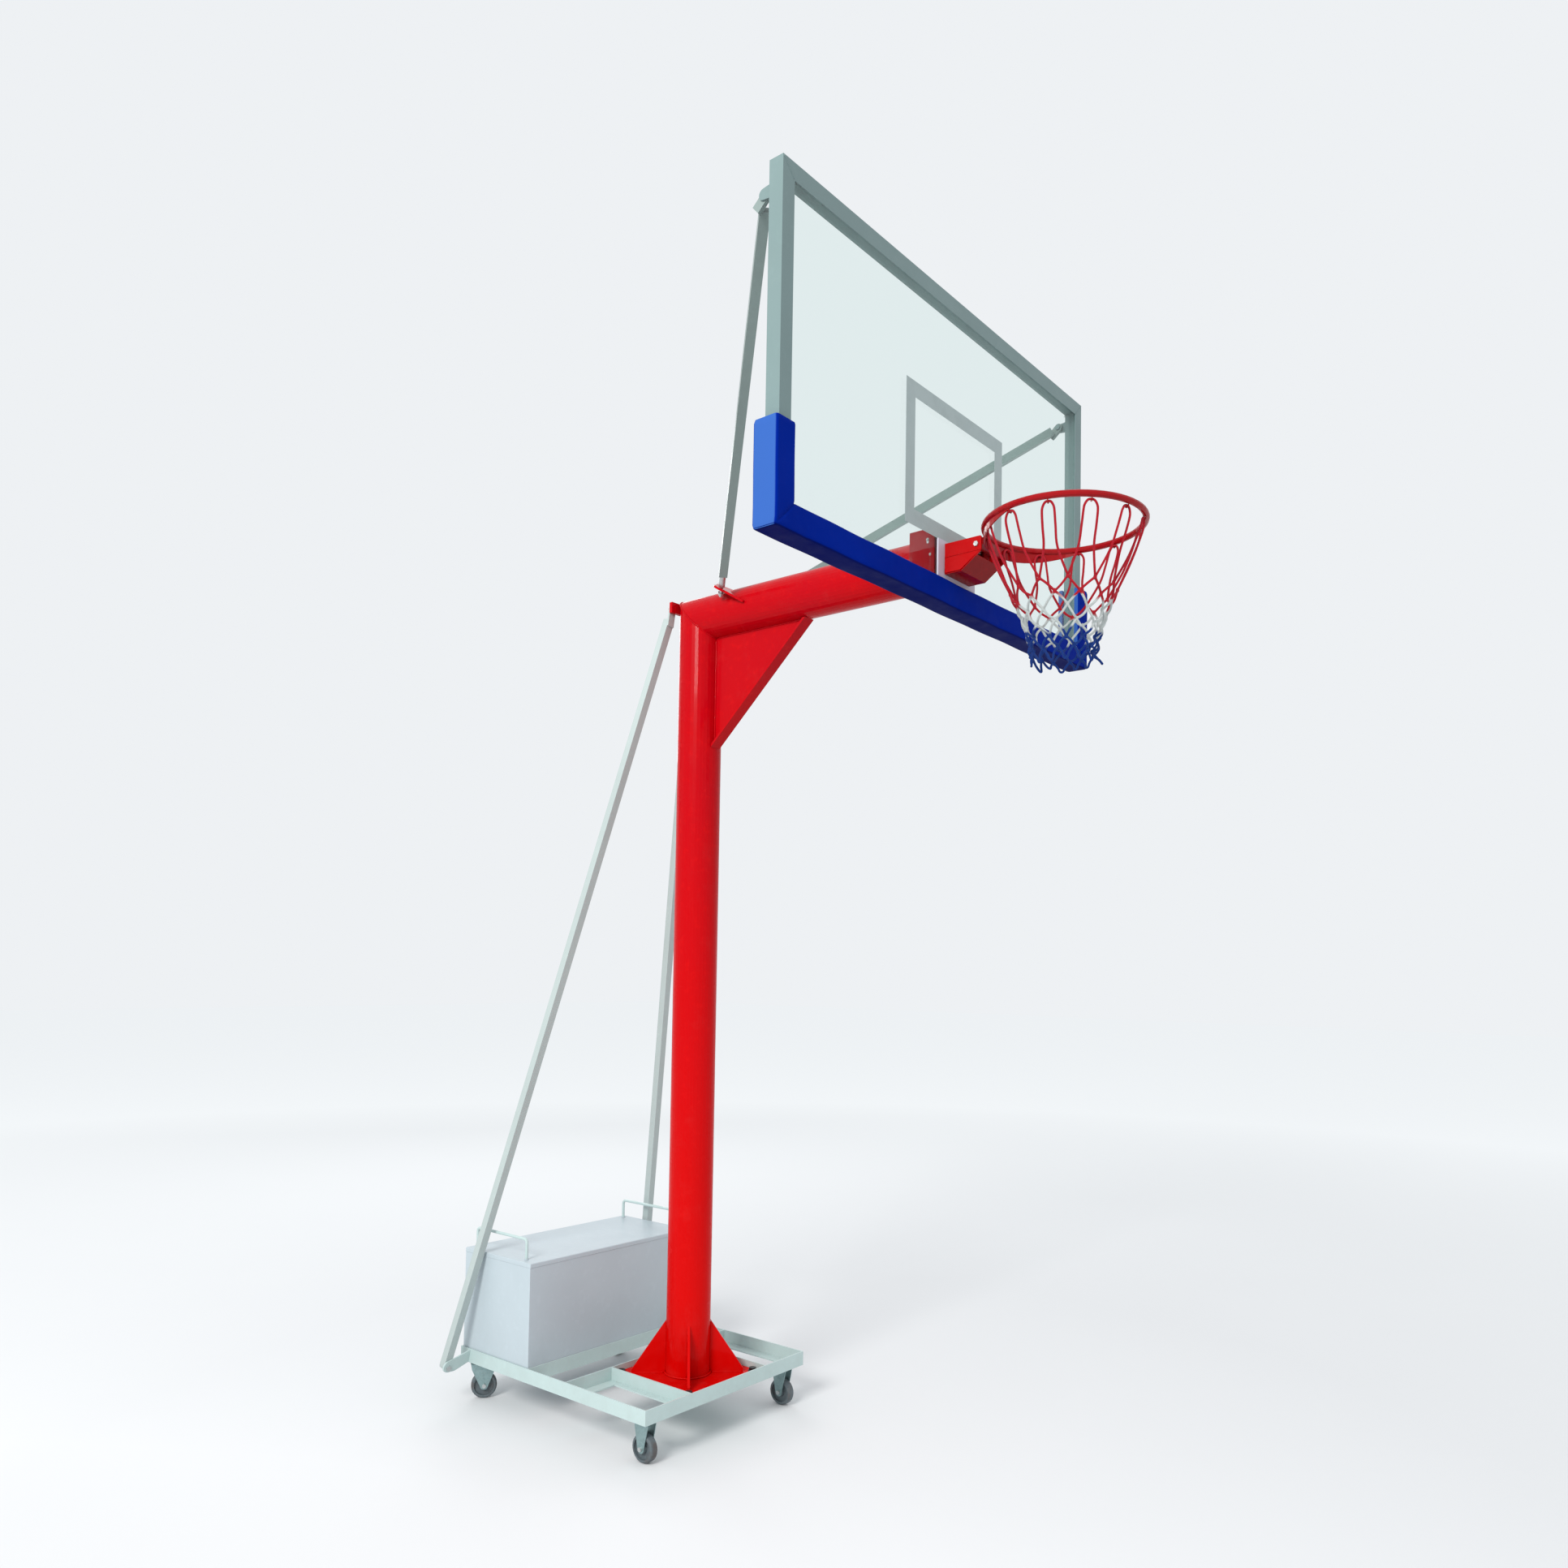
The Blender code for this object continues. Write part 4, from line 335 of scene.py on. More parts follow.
def clear_glass():
    """Toughened glass: nothing but its gloss, a faint green, and a little dust along the lower edge."""
    look = Look("clear_glass", (0.80, 0.93, 0.90), 0.6)
    clear = look.node("ShaderNodeBsdfTransparent")
    clear.inputs["Color"].default_value = (0.935, 0.975, 0.965, 1)
    shine = look.node("ShaderNodeBsdfGlossy")
    shine.inputs["Color"].default_value = (0.95, 1.0, 0.99, 1)
    shine.inputs["Roughness"].default_value = 0.03
    flat = look.node("ShaderNodeNewGeometry").outputs["True Normal"]
    look.link(flat, shine.inputs["Normal"])
    weight = look.node("ShaderNodeLayerWeight")
    look.link(flat, weight.inputs["Normal"])
    grazing = look.combine(weight.outputs["Facing"], 5.0, "POWER")
    gloss = look.combine(look.combine(grazing, 0.45), 0.018, "ADD")
    glossy = look.node("ShaderNodeMixShader")
    look.link(gloss, glossy.inputs["Fac"])
    look.link(clear.outputs["BSDF"], glossy.inputs[1])
    look.link(shine.outputs["BSDF"], glossy.inputs[2])
    low = look.between(look.axis("Z"), 2.90, 3.15, 1.0, 0.15)
    haze = look.combine(look.combine(low, look.between(look.noise(5.5, 6, 0.7), 0.40, 0.80)), 0.045)
    dusty = look.node("ShaderNodeMixShader")
    look.link(haze, dusty.inputs["Fac"])
    look.link(glossy.outputs["Shader"], dusty.inputs[1])
    look.link(look.shader.outputs["BSDF"], dusty.inputs[2])
    look.link(dusty.outputs["Shader"], look.tree.nodes["Material Output"].inputs["Surface"])
    return look.material


def pad_vinyl():
    """Moulded foam with a grained blue skin, with painted light where it faces sideways and painted shade beneath.
    """
    look = Look("pad_vinyl", (0.0001, 0.0145, 0.240), 0.38)
    look.tint(look.between(look.noise(4.2, 5), 0.36, 0.74), (0.0001, 0.0085, 0.160), 0.5)
    look.tint(look.between(look.noise(26, 6, 0.7), 0.58, 0.82), (0.001, 0.035, 0.36), 0.22)
    look.tint(look.between(look.noise(120, 3), 0.68, 0.82), (0.002, 0.05, 0.32), 0.16)
    # Painted light: paler where the pad faces sideways.
    sideways_painted_light = look.combine(look.facing("X"), 0.0, "ABSOLUTE")
    look.tint(look.between(sideways_painted_light, 0.80, 0.97), (0.055, 0.160, 0.450), 0.60)
    # Painted shade: darker where the pad faces down.
    look.tint(look.between(look.facing("Z"), -0.55, -0.85), (0.0002, 0.002, 0.062), 0.88)
    look.vary_roughness(look.noise(14, 4), 0.42, 0.62)
    look.raise_by(look.cells(300), 0.00012)
    look.raise_by(look.noise(24, 4), 0.00050)
    look.set("Specular IOR Level", 0.012)
    return look.material


def net_cord():
    """Braided cord, dyed red above, then a white band, and blue at the bottom."""
    look = Look("net_cord", (0.50, 0.007, 0.020), 0.80)
    height = look.combine(look.between(look.noise(13, 2), 0.3, 0.7, -0.014, 0.014), look.axis("Z"), "ADD")
    look.tint(look.between(height, 2.790, 2.782), (0.60, 0.65, 0.64))
    look.tint(look.between(height, 2.702, 2.694), (0.003, 0.038, 0.235))
    look.tint(look.between(look.noise(90, 5, 0.7), 0.50, 0.76), (0.05, 0.05, 0.08), 0.16)
    look.raise_by(look.waves(240, (0.6, 0.5, 0.4)), 0.0007)
    look.raise_by(look.waves(250, (-0.6, 0.4, 2.0)), 0.0007)
    look.set("Specular IOR Level", 0.12)
    look.set("Sheen Weight", 0.06)
    look.set("Sheen Roughness", 0.5)
    return look.material


def line_film(name, colour):
    """Painted film on the glass, with a slight ripple and scuffs from the ball."""
    look = Look(name, colour, 0.46)
    look.tint(look.between(look.noise(11, 6, 0.7), 0.50, 0.78), shade(colour, 0.72), 0.45)
    look.tint(look.between(look.noise(70, 4, 0.7), 0.62, 0.78), (0.24, 0.20, 0.17), 0.20)
    look.vary_roughness(look.noise(20, 4), 0.36, 0.58)
    look.raise_by(look.noise(180, 2), 0.00006)
    return look.material


# The red darkens towards the top as painted shade.
RED = sprayed_paint(
    "red_enamel",
    (0.60, 0.0010, 0.0006),
    roughness=0.24,
    wear=0.35,
    dirt_height=0.26,
    coat=0.16,
    specular=0.03,
    painted_shade_upper=(0.41, 0.0010, 0.0060),
)
# A darker copy of the red for the arm head: painted shade.
SHADED_HEAD_RED = sprayed_paint("head_enamel_shaded", (0.27, 0.0010, 0.0050), roughness=0.28, wear=0.5, coat=0.2, specular=0.03)
# The bracket's underside is painted dark as painted shade.
BRACKET_RED = sprayed_paint(
    "bracket_enamel",
    (0.42, 0.0030, 0.0040),
    roughness=0.26,
    wear=0.5,
    coat=0.2,
    specular=0.05,
    painted_shade_beneath=(0.120, 0.0010, 0.0016),
)
RING_RED = sprayed_paint("ring_enamel", (0.29, 0.0026, 0.005), roughness=0.28, wear=0.6, coat=0.30, specular=0.08)
PALE = sprayed_paint("pale_enamel", (0.485, 0.605, 0.595), roughness=0.34, wear=0.6, dirt_height=0.40, coat=0.12)
BOX = sprayed_paint("box_enamel", (0.47, 0.545, 0.585), roughness=0.36, wear=0.6, dirt_height=0.34, coat=0.12)
BRACE = sprayed_paint("brace_enamel", (0.43, 0.495, 0.485), roughness=0.36, wear=0.5, dirt_height=0.3, coat=0.1)
BOARD = sprayed_paint("board_enamel", (0.165, 0.235, 0.235), roughness=0.38, wear=0.5)
# The stays' grey-green paint, darkened as painted shade.
STAY = sprayed_paint("stay_enamel", (0.21, 0.265, 0.255), roughness=0.34, wear=0.5)
ZINC = zinc_plating("zinc_plating", (0.50, 0.52, 0.52))
FORK = zinc_plating("fork_plating", (0.275, 0.385, 0.39))
OXIDE_AND_SLOT_SHADE = black_oxide()
RUBBER = wheel_rubber()
GLASS = clear_glass()
VINYL = pad_vinyl()
CORD = net_cord()
# The target lines' mid grey stands for white lines in shade: painted shade.
TARGET = line_film("target_film", (0.32, 0.385, 0.385))
CENTRE = line_film("centre_film", (0.50, 0.475, 0.55))


def dress(material, *names):
    for name in names:
        for slot in NODES[name].material_slots:
            slot.material = material


def dress_nodes():
    dress(RED, "column", "arm", "column_foot", "knee_gusset", "stay_saddle")
    dress(SHADED_HEAD_RED, "arm_head")
    dress(BRACKET_RED, "rim_bracket")
    dress(RING_RED, "rim_ring")
    dress(PALE, "front_rail", "rear_rail", "pocket_cross_rail", "box_cross_rail", "mounting_plate")
    dress(BOX, "ballast_box")
    dress(ZINC, "rim_hinge_bolt")
    dress(BOARD, "board_frame")
    dress(GLASS, "board_glass")
    dress(TARGET, "target_lines")
    dress(CENTRE, "centre_plate")
    for side in SIDES:
        dress(PALE, f"{side}_rail", f"pocket_rail_{side}", f"ballast_handle_{side}")
        dress(BRACE, f"brace_{side}")
        dress(STAY, f"stay_{side}")
        dress(BOARD, f"board_lug_{side}")
        dress(OXIDE_AND_SLOT_SHADE, f"base_bolt_front_{side}", f"base_bolt_rear_{side}")
        dress(RUBBER, f"front_wheel_{side}", f"rear_wheel_{side}")
        dress(ZINC, f"brace_bolt_{side}", f"stay_rod_{side}", f"front_axle_{side}", f"rear_axle_{side}")
        dress(FORK, f"front_fork_{side}", f"rear_caster_plate_{side}", f"rear_fork_{side}", f"brake_pedal_{side}")


def piece(name, shape, material, body="stand", smooth=True):
    """Turns a bmesh drawn round the column's axis into a piece that rides on a body."""
    bmesh.ops.translate(shape, verts=shape.verts, vec=(0, AXIS_Y, 0))
    mesh = bpy.data.meshes.new(name)
    shape.to_mesh(mesh)
    shape.free()
    if smooth:
        mesh.shade_smooth()
    made = bpy.data.objects.new(name, mesh)
    bpy.context.scene.collection.objects.link(made)
    mesh.materials.append(material)
    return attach(made, body)


def turns(count, start=0.0):
    """Equal steps round a circle, in radians; start is in steps."""
    return [2 * math.pi * (i + start) / count for i in range(count)]


def add_band(shape, near, far):
    """Faces between two rings of as many points."""
    count = len(near)
    for k in range(count):
        m = (k + 1) % count
        shape.faces.new((near[k], near[m], far[m], far[k]))


def add_shell(shape, rings):
    """A closed form through rings of points, with a flat face at each end."""
    for near, far in zip(rings, rings[1:]):
        add_band(shape, near, far)
    shape.faces.new(rings[0][::-1])
    shape.faces.new(rings[-1])


def add_tube(shape, points, radii, sides=8, closed=False):
    """A round cord or bead along points; radii is one number or one for each point."""
    points = [Vector(p) for p in points]
    count = len(points)
    if isinstance(radii, (int, float)):
        radii = [radii] * count
    rings = []
    normal = None
    for i, point in enumerate(points):
        before = points[i - 1] if closed or i else points[0]
        after = points[(i + 1) % count] if closed or i + 1 < count else points[-1]
        ahead = (after - before).normalized()
        if normal is None:
            normal = ahead.orthogonal().normalized()
        normal = (normal - ahead * normal.dot(ahead)).normalized()
        side = ahead.cross(normal)
        ring = []
        for angle in turns(sides):
            ring.append(shape.verts.new(point + (normal * math.cos(angle) + side * math.sin(angle)) * radii[i]))
        rings.append(ring)
    if not closed:
        add_shell(shape, rings)
        return
    for near, far in zip(rings, rings[1:]):
        add_band(shape, near, far)
    first, last = rings[0], rings[-1]
    best = min(range(sides), key=lambda s: (first[s].co - last[0].co).length)
    add_band(shape, last, first[best:] + first[:best])


def curve_through(knots, steps=5):
    """Points on a smooth line through the knots."""
    knots = [Vector(k) for k in knots]
    line = []
    for i in range(len(knots) - 1):
        a = knots[max(i - 1, 0)]
        b, c = knots[i], knots[i + 1]
        d = knots[min(i + 2, len(knots) - 1)]
        for s in range(steps):
            t = s / steps
            second = (2 * a - 5 * b + 4 * c - d) * t**2
            third = (3 * b - a - 3 * c + d) * t**3
            line.append(0.5 * (2 * b + (c - a) * t + second + third))
    line.append(knots[-1])
    return line


# The net: twelve loops, each over a hook, whose strands cross and are knotted all the way down
NET_HOOKS = 12
NET_TOP = 3.0261
NET_TOP_RADIUS = 0.232
CORD_RADIUS = 0.0036
KNOT_SIZE = (0.0060, 0.0054, 0.0080)

# Height and radius of each row of knots
NET_LEVELS = (
    (2.832, 0.158),
    (2.795, 0.141),
    (2.755, 0.124),
    (2.715, 0.110),
    (2.677, 0.099),
    (2.642, 0.090),
)

# One side of a loop, from the first row up to its hook: share of the half width, radius and height
LOOP_SIDE = (
    (1.30, 0.1920, 2.905),
    (1.08, 0.2150, 2.960),
    (1.00, 0.2270, 2.994),
    (0.88, 0.2305, 3.010),
    (0.50, 0.2318, 3.0228),
)
LOOP_KNOTS = [(-1, *spot) for spot in LOOP_SIDE] + [(0, 0, NET_TOP_RADIUS, NET_TOP)]
LOOP_KNOTS += [(1, *spot) for spot in reversed(LOOP_SIDE)]

# Two of the bottom loops hang out further than the rest: angle, radius and height of the tip
LOW_TIPS = {4: (math.radians(141), 0.116, 2.618), 11: (math.radians(11), 0.084, 2.607)}


def ring_point(angle, radius, z):
    return Vector((radius * math.sin(angle), -RING_CENTRE + radius * math.cos(angle), z))


def outward_at(point):
    """The level direction away from the ring's axis."""
    return Vector((point.x, point.y + RING_CENTRE, 0)).normalized()


def place_knots(chance):
    """Rows of knots, looser towards the bottom."""
    rows = []
    for level, (z, radius) in enumerate(NET_LEVELS):
        loose = 0.15 + 0.17 * level
        row = []
        for angle in turns(NET_HOOKS, 0.5 if level % 2 else 0.0):
            angle += math.radians(chance.uniform(-3.2, 3.2)) * loose
            out = radius + chance.uniform(-0.007, 0.005) * loose
            row.append(ring_point(angle, out, z + chance.uniform(-0.009, 0.009) * loose))
        rows.append(row)
    return rows


def add_loops(shape, chance, first_row):
    """The loops over the hooks, each a little wider or narrower and leaning to one side."""
    for k, angle in enumerate(turns(NET_HOOKS, 0.5)):
        wide = chance.uniform(0.018, 0.022) / NET_TOP_RADIUS
        lean = chance.uniform(-0.05, 0.05)
        path = [first_row[k]]
        for side, part, radius, z in LOOP_KNOTS:
            path.append(ring_point(angle + wide * (side * part + lean * (NET_TOP - z) * 10), radius, z))
        path.append(first_row[(k + 1) % NET_HOOKS])
        add_tube(shape, curve_through(path), CORD_RADIUS)


def add_strands(shape, chance, rows):
    """Two sagging strands from every knot to the row below."""
    for level, (upper_row, lower_row) in enumerate(zip(rows, rows[1:])):
        for k, here in enumerate(upper_row):
            pair = (k - 1, k) if level % 2 == 0 else (k, k + 1)
            for other in pair:
                there = lower_row[other % NET_HOOKS]
                middle = (here + there) / 2
                sag = outward_at(middle) * (0.003 + 0.002 * level) + Vector((0, 0, chance.uniform(-0.006, 0.004)))
                add_tube(shape, curve_through([here, middle + sag, there]), CORD_RADIUS)


def add_knots(shape, rows):
    for row in rows:
        for spot in row:
            outward = outward_at(spot)
            along = Vector((0, 0, 1))
            turn = Matrix((outward.cross(along), outward, along)).transposed().to_4x4()
            place = Matrix.Translation(spot) @ turn @ Matrix.Diagonal((*KNOT_SIZE, 1))
            bmesh.ops.create_uvsphere(shape, u_segments=8, v_segments=6, radius=1.0, matrix=place)


def add_tips(shape, chance, last_row):
    """The loops that hang below the last row."""
    for k, here in enumerate(last_row):
        there = last_row[(k + 1) % NET_HOOKS]
        middle = (here + there) / 2
        outward = outward_at(middle)
        tip = middle + outward * chance.uniform(-0.012, 0.006)
        tip.z = chance.uniform(2.608, 2.622)
        if k in LOW_TIPS:
            tip = ring_point(*LOW_TIPS[k])
        side = (there - here).normalized() * 0.0045
        down = here * 0.45 + tip * 0.55 + outward * 0.004
        up = there * 0.45 + tip * 0.55
        add_tube(shape, curve_through([here, down, tip - side, tip + side, up, there]), CORD_RADIUS)


def make_net():
    chance = random.Random(12)
    shape = bmesh.new()
    rows = place_knots(chance)
    add_loops(shape, chance, rows[0])
    add_strands(shape, chance, rows)
    add_knots(shape, rows)
    add_tips(shape, chance, rows[-1])
    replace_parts(piece("net_cords", shape, CORD, "rim"), "net")


# Padding: a foam channel with a grained skin that wraps the board's edge. A pad's width is how far it reaches inward
# from the board's edge, and its outside is how far it stands out beyond the edge.
PAD_WALL = 0.018
PAD_GAP = 0.0006
PAD_ROUNDING = 0.009
PAD_LIP = 0.004
BOTTOM_WIDTH, BOTTOM_OUTSIDE = 0.062, 0.016
SIDE_WIDTH, SIDE_OUTSIDE = 0.050, 0.030
SIDE_TOP = 0.280
MITRE = 0.080 / 0.078
SEAM = 0.00015
PAD_REAR = BOARD_DEPTH + 2 * PAD_GAP
PAD_MIDDLE = 0.020

# Points of a section beyond these lie on the pad's front, outside and rear faces
SKIN_FRONT, SKIN_OUTSIDE, SKIN_REAR = -0.010, -0.008, BOARD_DEPTH + 0.010
SIDE_SKIN_OUTSIDE = -0.020


def pad_outline(width, outside):
    """Points of the channel's section: across runs from the board's edge inward, through runs from front to rear."""
    front, rear = -PAD_WALL, BOARD_DEPTH + PAD_WALL + 2 * PAD_GAP
    centre = -outside + PAD_ROUNDING
    lip = width - PAD_LIP
    spots = []

    def run(start, end, count):
        for i in range(count):
            spots.append(Vector(start).lerp(Vector(end), i / count))

    def corner(middle, start, end, count=5):
        for i in range(count):
            a = math.radians(start + (end - start) * i / count)
            spots.append(Vector(middle) + Vector((math.cos(a), math.sin(a))) * PAD_ROUNDING)

    run((lip, front), (centre, front), 10)
    corner((centre, front + PAD_ROUNDING), 270, 180)
    run((-outside, front + PAD_ROUNDING), (-outside, rear - PAD_ROUNDING), 10)
    corner((centre, rear - PAD_ROUNDING), 180, 90)
    run((centre, rear), (lip, rear), 10)
    run((lip, rear), (width, rear - PAD_LIP), 2)
    run((width, rear - PAD_LIP), (width, PAD_REAR), 3)
    run((width, PAD_REAR), (-PAD_GAP, PAD_REAR), 5)
    run((-PAD_GAP, PAD_REAR), (-PAD_GAP, 0), 5)
    run((-PAD_GAP, 0), (width, 0), 5)
    run((width, 0), (width, front + PAD_LIP), 3)
    run((width, front + PAD_LIP), (lip, front), 2)
    return spots


def skin(point):
    """How far a section point may swell: only the outside faces do."""
    return 1.0 if point.y < SKIN_FRONT or point.x < SKIN_OUTSIDE or point.y > SKIN_REAR else 0.0


def groove(point, share):
    """How far a skin point at a pad's end is drawn in, and which way that is from front to rear."""
    depth = 0.0022 * skin(point) if share in (0.0, 1.0) else 0.0
    return depth, depth if point.y < PAD_MIDDLE else -depth


def make_pad(name, spots, placed, steps):
    """Sweeps a section; placed gives the place of a section point at a share of the pad's length."""
    shape = bmesh.new()
    rows = []
    for i in range(steps + 1):
        rows.append([shape.verts.new(placed(p, i / steps)) for p in spots])
    add_shell(shape, rows)
    bmesh.ops.recalc_face_normals(shape, faces=shape.faces)
    made = piece(name + "_foam", shape, VINYL)
    made.data.set_sharp_from_angle(angle=math.radians(42))
    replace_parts(made, name)


def make_pads():
    face = BOARD_FACE + PAD_GAP
    crease_top = 0.010
    chance = random.Random(5)
    drift = [chance.uniform(0, 6.28) for _ in range(2)]
    folds = [chance.uniform(-0.85, 0.85) for _ in range(9)]

    def ripple(t):
        return 0.0010 * (math.sin(9 * t + drift[0]) + math.sin(23 * t + drift[1]))

    def crease(t, depth=0.0016, width=0.012):
        """Narrow folds pressed into the skin's lower front edge."""
        return sum(depth * math.exp(-(((t - fold) / width) ** 2)) for fold in folds)

    def place_bottom(point, share):
        reach = BOARD_HALF + SIDE_OUTSIDE - (point.x + BOTTOM_OUTSIDE) * MITRE - SEAM
        x = (2 * share - 1) * reach
        wave = ripple(x) * skin(point)
        if point.x < crease_top and point.y < SKIN_FRONT:
            wave -= crease(x)
        drawn, inward = groove(point, share)
        low = drawn if point.x < SKIN_OUTSIDE else 0.0
        return (x, -face + point.y - wave * 0.6 + inward, BOARD_BOTTOM + point.x + wave * 0.3 + low)

    make_pad("pad_bottom", pad_outline(BOTTOM_WIDTH, BOTTOM_OUTSIDE), place_bottom, steps=240)
    for name, sign in (("pad_left", -1), ("pad_right", 1)):

        def place_side(point, share, sign=sign):
            low = (SIDE_OUTSIDE + point.x) / MITRE - BOTTOM_OUTSIDE + SEAM
            z = low + (SIDE_TOP - low) * share
            wave = ripple(z + sign) * skin(point)
            drawn, inward = groove(point, share)
            reach = BOARD_HALF - point.x
            if point.x < SIDE_SKIN_OUTSIDE:
                reach += min(wave * 0.6, 0.0)
                reach -= drawn
            return (sign * reach, -face + point.y - wave * 0.5 + inward, BOARD_BOTTOM + z)

        make_pad(name, pad_outline(SIDE_WIDTH, SIDE_OUTSIDE), place_side, steps=30)


# Weld beads, laid where the steel pieces meet
def bead(shape, points, radius, closed=False):
    chance = random.Random(len(points))
    radii = [radius * (0.82 + 0.26 * (i % 2) + chance.uniform(-0.08, 0.08)) for i in range(len(points))]
    add_tube(shape, points, radii, sides=6, closed=closed)


def line_points(start, end, step=0.004):
    start, end = Vector(start), Vector(end)
    count = max(2, round((end - start).length / step))
    return [start.lerp(end, i / count) for i in range(count + 1)]


def circle_points(centre, radius, step=0.004):
    count = round(2 * math.pi * radius / step)
    return [Vector(centre) + Vector((radius * math.cos(t), radius * math.sin(t), 0)) for t in turns(count)]


def make_column_welds():
    """Round the pipe on the foot plate, and on both sides of each gusset along the plate and up the pipe."""
    plate_top, gusset_top, gusset_reach, gusset_side = 0.1779, 0.361, 0.203, 0.0065
    on_plate, low, high = (Vector((0, 0, z)) for z in (plate_top + 0.001, plate_top + 0.008, gusset_top))
    shape = bmesh.new()
    bead(shape, circle_points((0, 0, plate_top + 0.003), PIPE_RADIUS + 0.003), radius=0.0036, closed=True)
    for index in range(4):
        angle = math.radians(45 + 90 * index)
        ahead = Vector((math.cos(angle), math.sin(angle), 0))
        across = Vector((-ahead.y, ahead.x, 0))
        for side in (-1, 1):
            off = across * side * gusset_side
            inner = ahead * (PIPE_RADIUS + 0.008) + off + on_plate
            bead(shape, line_points(inner, ahead * gusset_reach + off + on_plate), radius=0.0028)
            edge = ahead * (PIPE_RADIUS + 0.0012) + off
            bead(shape, line_points(edge + low, edge + high), radius=0.0026)
    piece("column_foot_welds", shape, RED)


def make_elbow_weld():
    """Round the slanting cut where the arm meets the column."""
    shape = bmesh.new()
    points = []
    for angle in turns(150):
        x, y = PIPE_RADIUS * math.cos(angle), PIPE_RADIUS * math.sin(angle)
        points.append(Vector((x, y, ARM_HEIGHT + y)) + Vector((x, y * 0.7, 0)).normalized() * 0.0006)
    bead(shape, points, radius=0.0030, closed=True)
    piece("elbow_weld", shape, RED)


def make_knee_welds():
    """Down the column and along the arm, on both sides of the knee gusset."""
    gusset_low, gusset_front = 2.526, -0.508
    shape = bmesh.new()
    under = ARM_HEIGHT - PIPE_RADIUS
    front = -PIPE_RADIUS - 0.001
    for side in (-1, 1):
        x = side * 0.0052
        upright = line_points((x, front, gusset_low), (x, front, under - 0.010))
        level = line_points((x, -PIPE_RADIUS - 0.010, under - 0.001), (x, gusset_front, under - 0.001))
        bead(shape, upright, radius=0.0030)
        bead(shape, level, radius=0.0030)
    piece("knee_welds", shape, RED)


def make_frame_welds():
    """Ground seams at the board's upper corners, and rings at the feet of the box handles."""
    start, end = 0.003, 0.047
    top = BOARD_BOTTOM + BOARD_HEIGHT
    shape = bmesh.new()
    for side in (-1, 1):
        for face in (-BOARD_FACE - 0.0002, -BOARD_FACE + BOARD_DEPTH + 0.0002):
            outer = (side * (BOARD_HALF - start), face, top - start)
            inner = (side * (BOARD_HALF - end), face, top - end)
            bead(shape, line_points(outer, inner), radius=0.0011)
    piece("board_corner_welds", shape, BOARD)
    handle_side, box_top = 0.385, 0.5812
    shape = bmesh.new()
    for side in (-1, 1):
        for back in (0.475, 0.775):
            foot = circle_points((side * handle_side, back, box_top), 0.0073, step=0.003)
            bead(shape, foot, radius=0.0020, closed=True)
    piece("handle_welds", shape, BOX)


def add_bolt(shape, place, outward, radius, height):
    """A washer and a hexagonal head with a bevelled crown, standing out of a face."""
    outward = Vector(outward).normalized()
    place = Matrix.Translation(place) @ outward.to_track_quat("Z", "Y").to_matrix().to_4x4()

    def layer(rings, sides):
        rows = []
        for reach, rise in rings:
            row = [Vector((reach * math.cos(a), reach * math.sin(a), rise)) for a in turns(sides)]
            rows.append([shape.verts.new(place @ spot) for spot in row])
        add_shell(shape, rows)

    washer = 0.0016
    layer([(radius * 1.45, 0), (radius * 1.45, 0.0012), (radius * 1.35, washer)], sides=20)
    layer([(radius, washer), (radius, height), (radius * 0.84, height + 0.0008)], sides=6)


def add_slot(shape, middle, along, outward, length, width, proud=0.0004):
    """A thin plate with round ends: dark, as painted shade in the mouth of a slot, or a small bolt plate."""
    along, outward = Vector(along).normalized(), Vector(outward).normalized()
    across = outward.cross(along)
    rows = []
    for rise in (0, proud):
        row = []
        for angle in turns(16, 0.5):
            reach = (length - width) / 2 * (1 if math.sin(angle) > 0 else -1)
            spot = across * math.cos(angle) * width / 2 + along * (math.sin(angle) * width / 2 + reach)
            row.append(shape.verts.new(Vector(middle) + spot + outward * rise))
        rows.append(row)
    add_shell(shape, rows)


# Outline of the part pressed out of each side of the ring's bracket: place along Y and height
RIB_OUTLINE = ((-1.1305, 2.9945), (-1.1305, 2.9450), (-1.1870, 2.9450), (-1.2530, 2.9920), (-1.2530, 2.9945))
RIB_TOP, RIB_HEIGHT = 2.9945, 0.0495


def add_rib(shape, side):
    """A line pressed along the bracket's side, and below it a face that leans out towards its lower edge."""
    x = side * 0.0755
    bead(shape, line_points((x, -1.129, 2.996), (x, -1.256, 2.996), step=0.006), radius=0.0017)
    inner = [shape.verts.new((side * 0.0749, y, z)) for y, z in RIB_OUTLINE]
    outer = []
    for y, z in RIB_OUTLINE:
        outer.append(shape.verts.new((side * (0.0756 + 0.0032 * (RIB_TOP - z) / RIB_HEIGHT), y, z)))
    add_shell(shape, [inner, outer])


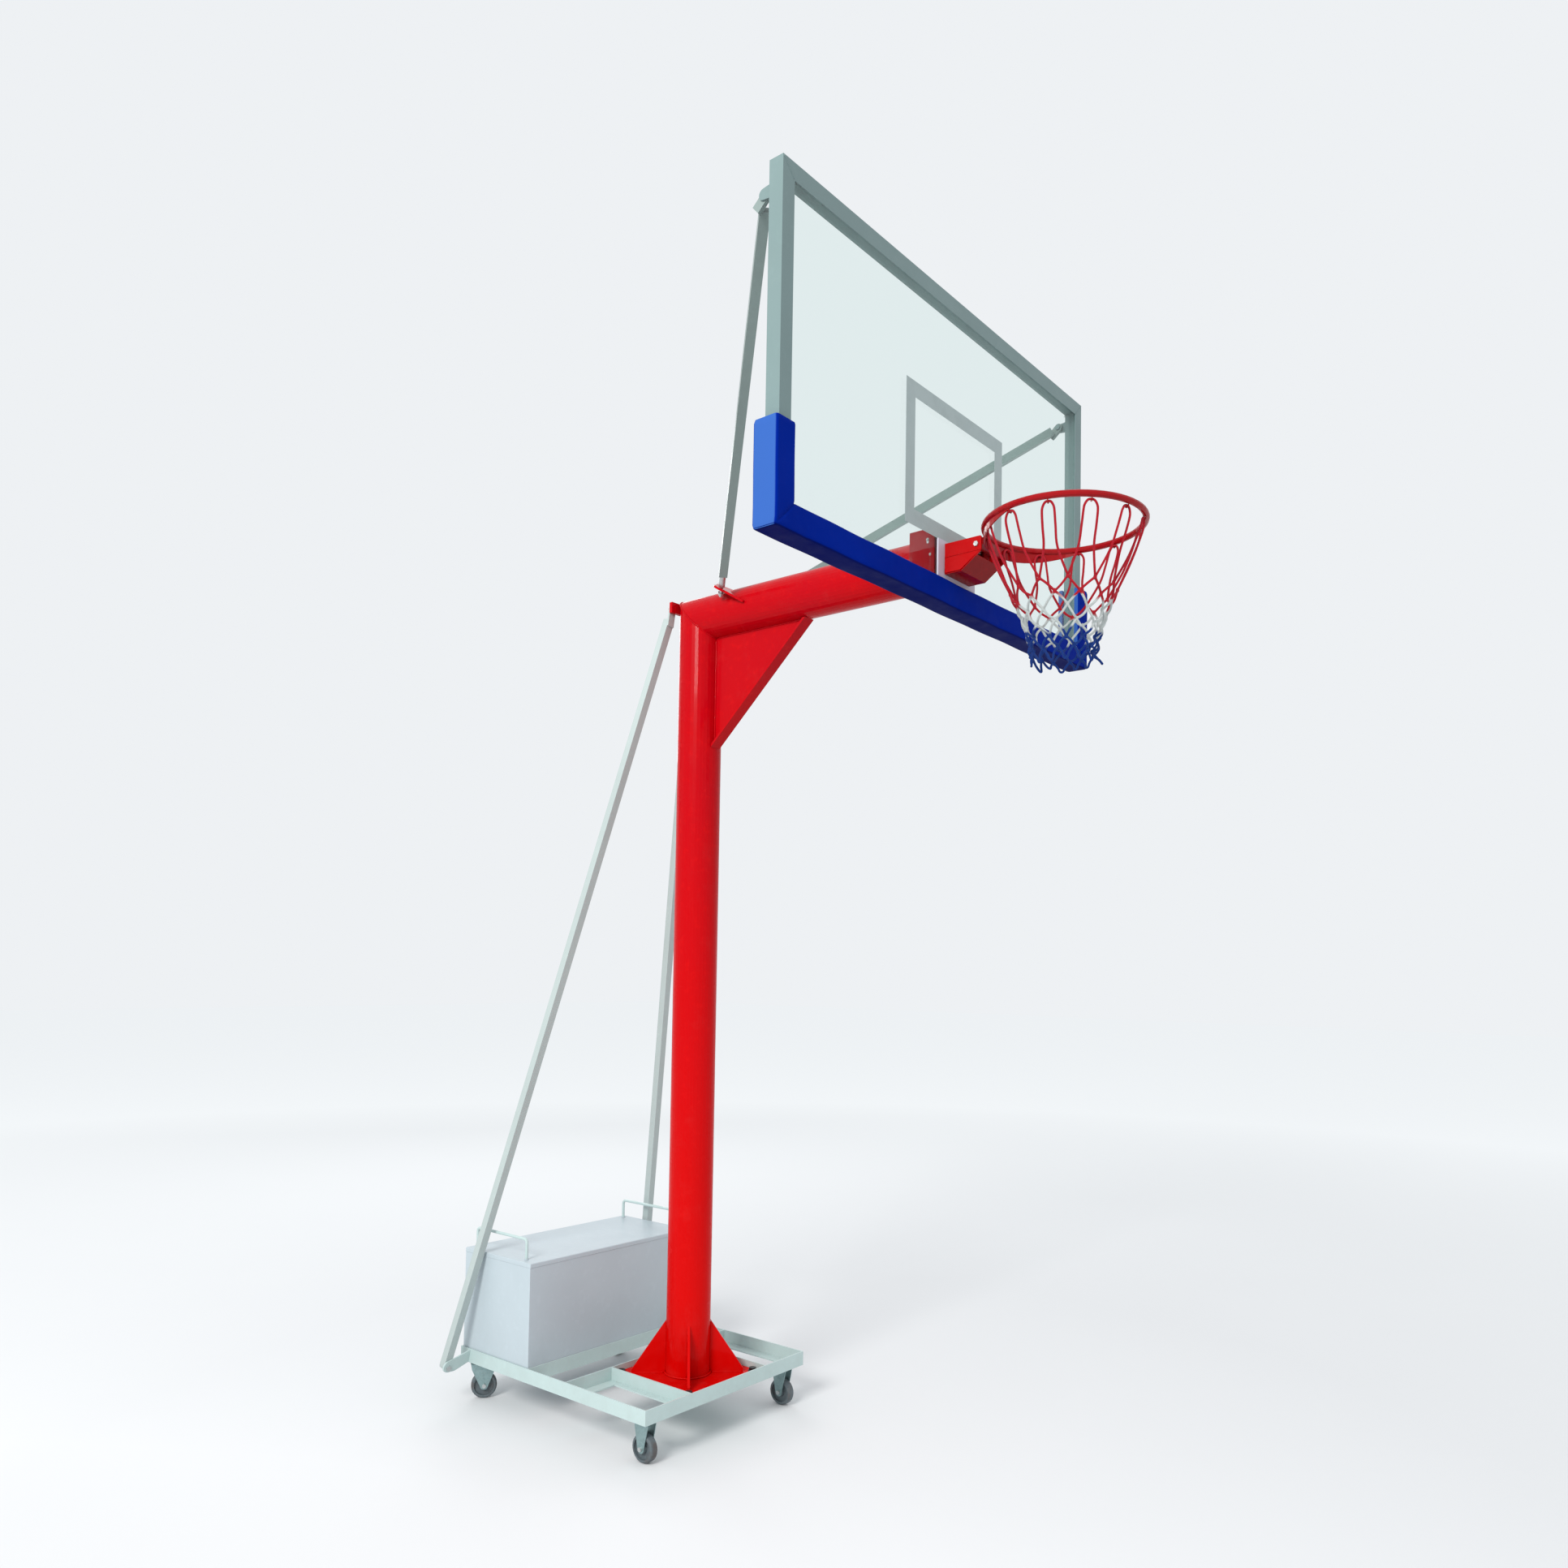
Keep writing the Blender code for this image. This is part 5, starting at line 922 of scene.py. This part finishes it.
def make_head_details():
    """Bolts and plates of the arm head, and the pressed ribs of the ring's bracket, with dark plates as painted
    shade in its slot mouths.
    """
    bolts, slot_shades, ribs, plates = (bmesh.new() for _ in range(4))
    cheek = PIPE_RADIUS + 0.0003 + 0.008 + 0.0003
    plate_proud = 0.0008
    for side in (-1, 1):
        out = (side, 0, 0)
        add_slot(plates, (side * cheek, -1.074, 3.058), (0, 0, 1), out, length=0.018, width=0.008, proud=plate_proud)
        add_bolt(bolts, (side * (cheek + plate_proud), -1.074, 3.061), out, radius=0.0034, height=0.0040)
        add_bolt(bolts, (side * cheek, -1.084, 3.012), out, radius=0.0030, height=0.0035)
        add_rib(ribs, side)
    # Dark plates in the bracket's slot mouths, as painted shade.
    slope = Vector((0, -0.0675, 0.048)).normalized()
    out = Vector((0, -slope.z, slope.y)) * -1
    apart, spacing, clear = 0.100, 0.011, 0.0003
    for step in range(3):
        middle = Vector((-0.050, -1.2100, 2.9573)) + slope * spacing * step + out * clear
        for across in (0, apart):
            add_slot(slot_shades, middle + Vector((across, 0, 0)), (1, 0, 0), out, length=0.020, width=0.005)
    made = (
        ("head_bolts", bolts, ZINC),
        ("head_plates", plates, ZINC),
        # The slot plates wear the black oxide as painted shade.
        ("bracket_slot_shades", slot_shades, OXIDE_AND_SLOT_SHADE),
        ("bracket_ribs", ribs, BRACKET_RED),
    )
    for name, shape, material in made:
        bmesh.ops.recalc_face_normals(shape, faces=shape.faces)
        piece(name, shape, material, smooth=False)


def make_spring():
    """The ring's spring; its end turns lie flat."""
    low, high, wire, radius = 2.9936, 3.0344, 0.0013, 0.009
    coils, per_coil = 6, 20
    points = []
    for i in range(coils * per_coil + 1):
        share = i / (coils * per_coil)
        angle = 2 * math.pi * coils * share
        rise = min(1.0, max(0.0, (share - 0.06) / 0.88))
        points.append((radius * math.cos(angle), -1.204 + radius * math.sin(angle), low + (high - low) * rise))
    shape = bmesh.new()
    add_tube(shape, points, wire, sides=10)
    coil = piece("rim_spring_coil", shape, ZINC)
    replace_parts(coil, "rim_spring")
    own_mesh(coil)


dress_nodes()
make_camera()
make_studio()
make_net()
make_pads()
make_column_welds()
make_elbow_weld()
make_knee_welds()
make_frame_welds()
make_head_details()
make_spring()
